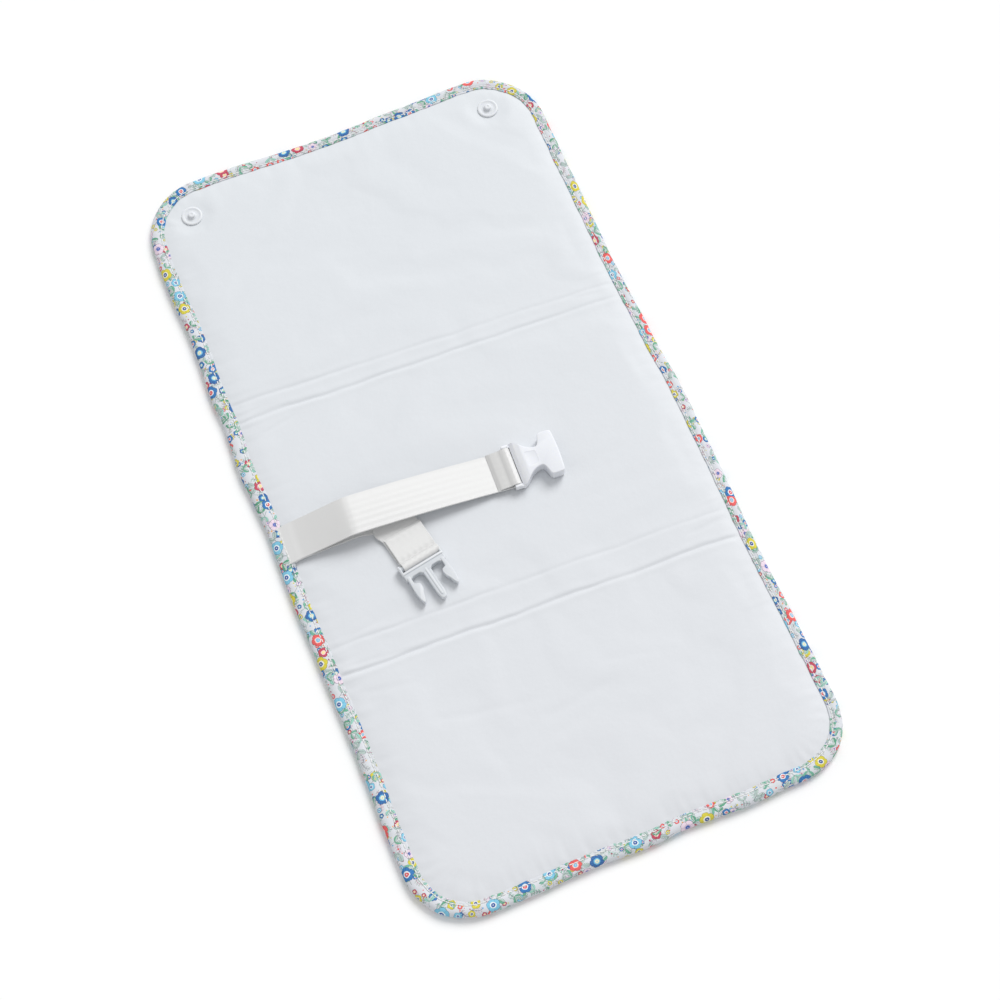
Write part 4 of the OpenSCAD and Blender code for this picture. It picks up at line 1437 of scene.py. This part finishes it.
# ---------------------------------------------------------------- buckle socket
BAR_LENGTH = 29.6
BAR_HALF = BAR_LENGTH / 2
SOCKET_LOW, SOCKET_HIGH = -3.85, 5.55       # from the bar's axis
SOCKET_WALL = 1.9
SOCKET_SIDE = [     # distance from the bar, y past the bar's half length
    (3.55, 2.2), (5.0, 2.35), (7.2, 1.4), (9.5, -0.8), (12.5, -3.8), (15.5, -5.8), (18.6, -6.9),
    (20.8, -7.1), (22.2, -6.4), (23.3, -4.4), (24.1, -1.9), (24.9, 0.5), (26.2, 1.9),
    (28.5, 2.2), (31.5, 2.2), (34.0, 1.9), (35.2, 0.6),
]


def build_socket():
    w, low, high = BAR_HALF, SOCKET_LOW, SOCKET_HIGH
    side, _ = smooth_path([(x, w + past) for x, past in SOCKET_SIDE], 0.8)
    # the mouth's edge bows out slightly in the middle
    mouth_edge = [(35.3 + 0.7 * (1 - (y / w) ** 2), y)
                  for y in np.linspace(w - 0.6, -(w - 0.6), 15)]
    body = plate(mirrored(side, mouth_edge), low, high, 1.5, segments=4)
    cheeks = [brick(-2.4, 6.0, sign * (w + 1.25) - 1.2, sign * (w + 1.25) + 1.2, -2.4, 2.6, 0.8)
              for sign in (-1, 1)]
    # the mouth, and the lane that runs on from it along the middle
    hollows = [brick(x, 42, -half, half, low + SOCKET_WALL, high - SOCKET_WALL, 0.5, radius=0.9)
               for x, half in ((26.9, w + 0.6), (12.5, 6.0))]
    # a shallow step in the top of the collar
    step = plate(round_poly(mirrored([(11.5, -6.0), (20.0, -4.9)]), 2.0),
                 high - 0.12, high + 3, 0.08)
    # the bar end of the collar slopes down to the webbing
    wedge = plate_bmesh([(2.5, 1.5), (3.7, 1.7), (6.0, 3.9), (9.6, 5.35), (13.0, 5.75),
                         (13.0, 9.0), (2.5, 9.0)], -(w + 5), w + 5, 0)
    turn_about_x(wedge)
    socket = merge("buckle_socket_moulded", [body, *cheeks, rod(BAR_LENGTH + 1.6)],
                   SOCKET_PLASTIC, cuts=[*hollows, step, bmesh_object(wedge)])
    place(socket, SOCKET_BAR, (math.cos(LONG_ANGLE), math.sin(LONG_ANGLE)))
    mount(socket, "socket", "buckle_plastic", "buckle_socket")


build_socket()

# ---------------------------------------------------------------- buckle plug
ROOT = 9.5                      # where the arms spring, from the bar
ARM_Y = BAR_HALF - 0.9          # middle of an arm
ARM_LENGTH = 21.0
PLUG_HALF = 6.5 / 2             # half thickness
ARM_OUTLINE = [     # distance from the root, y from the arm's middle
    (-1.6, -1.3), (2.0, -1.2), (5.6, -1.2), (6.1, -3.6), (7.2, -4.8), (9.0, -5.0), (12.5, -4.5),
    (14.5, -3.2), (ARM_LENGTH - 2.4, -1.9), (ARM_LENGTH + 0.1, -0.6), (ARM_LENGTH - 0.4, 0.4),
    (ARM_LENGTH - 3.0, 1.2), (ARM_LENGTH - 7.0, 1.7), (9.5, 1.7), (5.0, 1.35), (1.5, 1.25),
    (-1.6, 1.2),
]


def build_plug():
    w, half, tip = BAR_HALF, PLUG_HALF, ROOT + ARM_LENGTH
    block = [(3.9, -(w + 1.7)), (ROOT + 0.6, -(w + 1.5)), (ROOT + 1.0, -(w - 2.6)),
             (ROOT - 0.2, -(w - 4.4)), (ROOT - 0.2, -5.0), (ROOT + 1.6, -3.2)]
    tongue = [(ROOT - 1.5, -3.3), (tip - 2, -2.9), (tip + 3.4, -2.1)]
    solids = [
        plate(round_poly(mirrored(block), 1.4), -half, half - 1.0, 0.8, segments=4),
        *(brick(-2.4, 6.0, sign * (w + 0.95) - 0.85, sign * (w + 0.95) + 0.85, -2.1, 2.7, 0.6)
          for sign in (-1, 1)),                                             # cheeks
        brick(3.65, 5.75, -(w + 1.55), w + 1.55, -half + 0.6, half - 0.3, 0.75, radius=0.9),
        plate(round_poly(mirrored(tongue, [(tip + 4.4, 0)]), 1.6), -half + 1.1, half - 1.2, 0.8),
        brick(ROOT - 1.0, tip + 1.2, -0.85, 0.85, -half + 1.4, half - 0.75, 0.4),   # ridge
        rod(BAR_LENGTH + 1.2),
    ]
    plug = merge("buckle_plug_moulded", solids, SHADED_PLUG_PLASTIC)
    place(plug, PLUG_BAR, PLUG_ALONG)
    mount(plug, "plug", "buckle_plastic", "buckle_plug_frame")


def build_arm(side, sign):
    points = round_poly([(ROOT + x, sign * (ARM_Y + y)) for x, y in ARM_OUTLINE], 1.1, count=4)
    blade = plate(points[::sign], -PLUG_HALF + 0.6, PLUG_HALF - 0.6, 0.75)
    grip_y = sign * (ARM_Y + 1.1)
    grips = [brick(ROOT + 9.6 + 1.7 * k, ROOT + 10.4 + 1.7 * k, grip_y - 0.9, grip_y + 0.8,
                   -PLUG_HALF + 1.3, PLUG_HALF - 1.3, 0.25, radius=0.3) for k in range(3)]
    arm = merge(f"plug_arm_{side}_moulded", [blade, *grips], SHADED_PLUG_PLASTIC)
    place(arm, PLUG_BAR, PLUG_ALONG)
    mount(arm, f"plug_{side}_arm", "buckle_plastic", f"plug_arm_{side}")


build_plug()
build_arm("right", 1)
build_arm("left", -1)


# ---------------------------------------------------------------- floor, light, camera
def build_floor():
    shader = Shader("floor")
    colour = shader.mix(shader.noise(shader.object_mm(), scale=0.01), (0.938, 0.938, 0.938),
                        (0.948, 0.948, 0.948))
    material = shader.finish(Base_Color=colour, Roughness=0.9)
    bm = bmesh.new()
    bmesh.ops.create_grid(bm, x_segments=8, y_segments=8, size=6.0)
    bmesh.ops.translate(bm, verts=bm.verts, vec=(0, 0, -0.0004))
    floor = bmesh_object(bm, "floor")
    floor.data.materials.append(material)


def light_scene():
    world = bpy.data.worlds.new("studio")
    scene.world = world
    world.use_nodes = True
    background = world.node_tree.nodes["Background"]
    background.inputs["Color"].default_value = (0.985, 0.99, 1.0, 1)
    background.inputs["Strength"].default_value = 0.628
    azimuth, elevation = math.radians(40), math.radians(44)
    light = bpy.data.lights.new("key", "SUN")
    light.energy = 2.05
    light.angle = math.radians(32)
    light.color = (1.0, 0.998, 0.99)
    towards = Vector((math.cos(elevation) * math.cos(azimuth),
                      math.cos(elevation) * math.sin(azimuth), math.sin(elevation)))
    key = add_object("key", light)
    key.location = towards * 3
    key.rotation_euler = towards.to_track_quat("Z", "Y").to_euler()


def set_camera():
    lens = bpy.data.cameras.new("camera")
    lens.sensor_width = 36.0
    lens.lens = 76.9212
    lens.clip_start = 0.01
    lens.clip_end = 50
    camera = add_object("camera", lens)
    right = (0.92369, -0.38227, -0.02597)
    up = (0.36057, 0.84432, 0.39637)
    backward = (-0.12959, -0.37549, 0.91772)
    turn = Matrix((right, up, backward)).transposed().to_4x4()
    camera.matrix_world = Matrix.Translation((-0.19355, -0.60539, 1.40522)) @ turn
    scene.camera = camera
    scene.view_settings.view_transform = "Standard"
    scene.view_settings.look = "None"
    scene.view_settings.exposure = 0.0


build_floor()
light_scene()
set_camera()


bpy.context.view_layer.update()
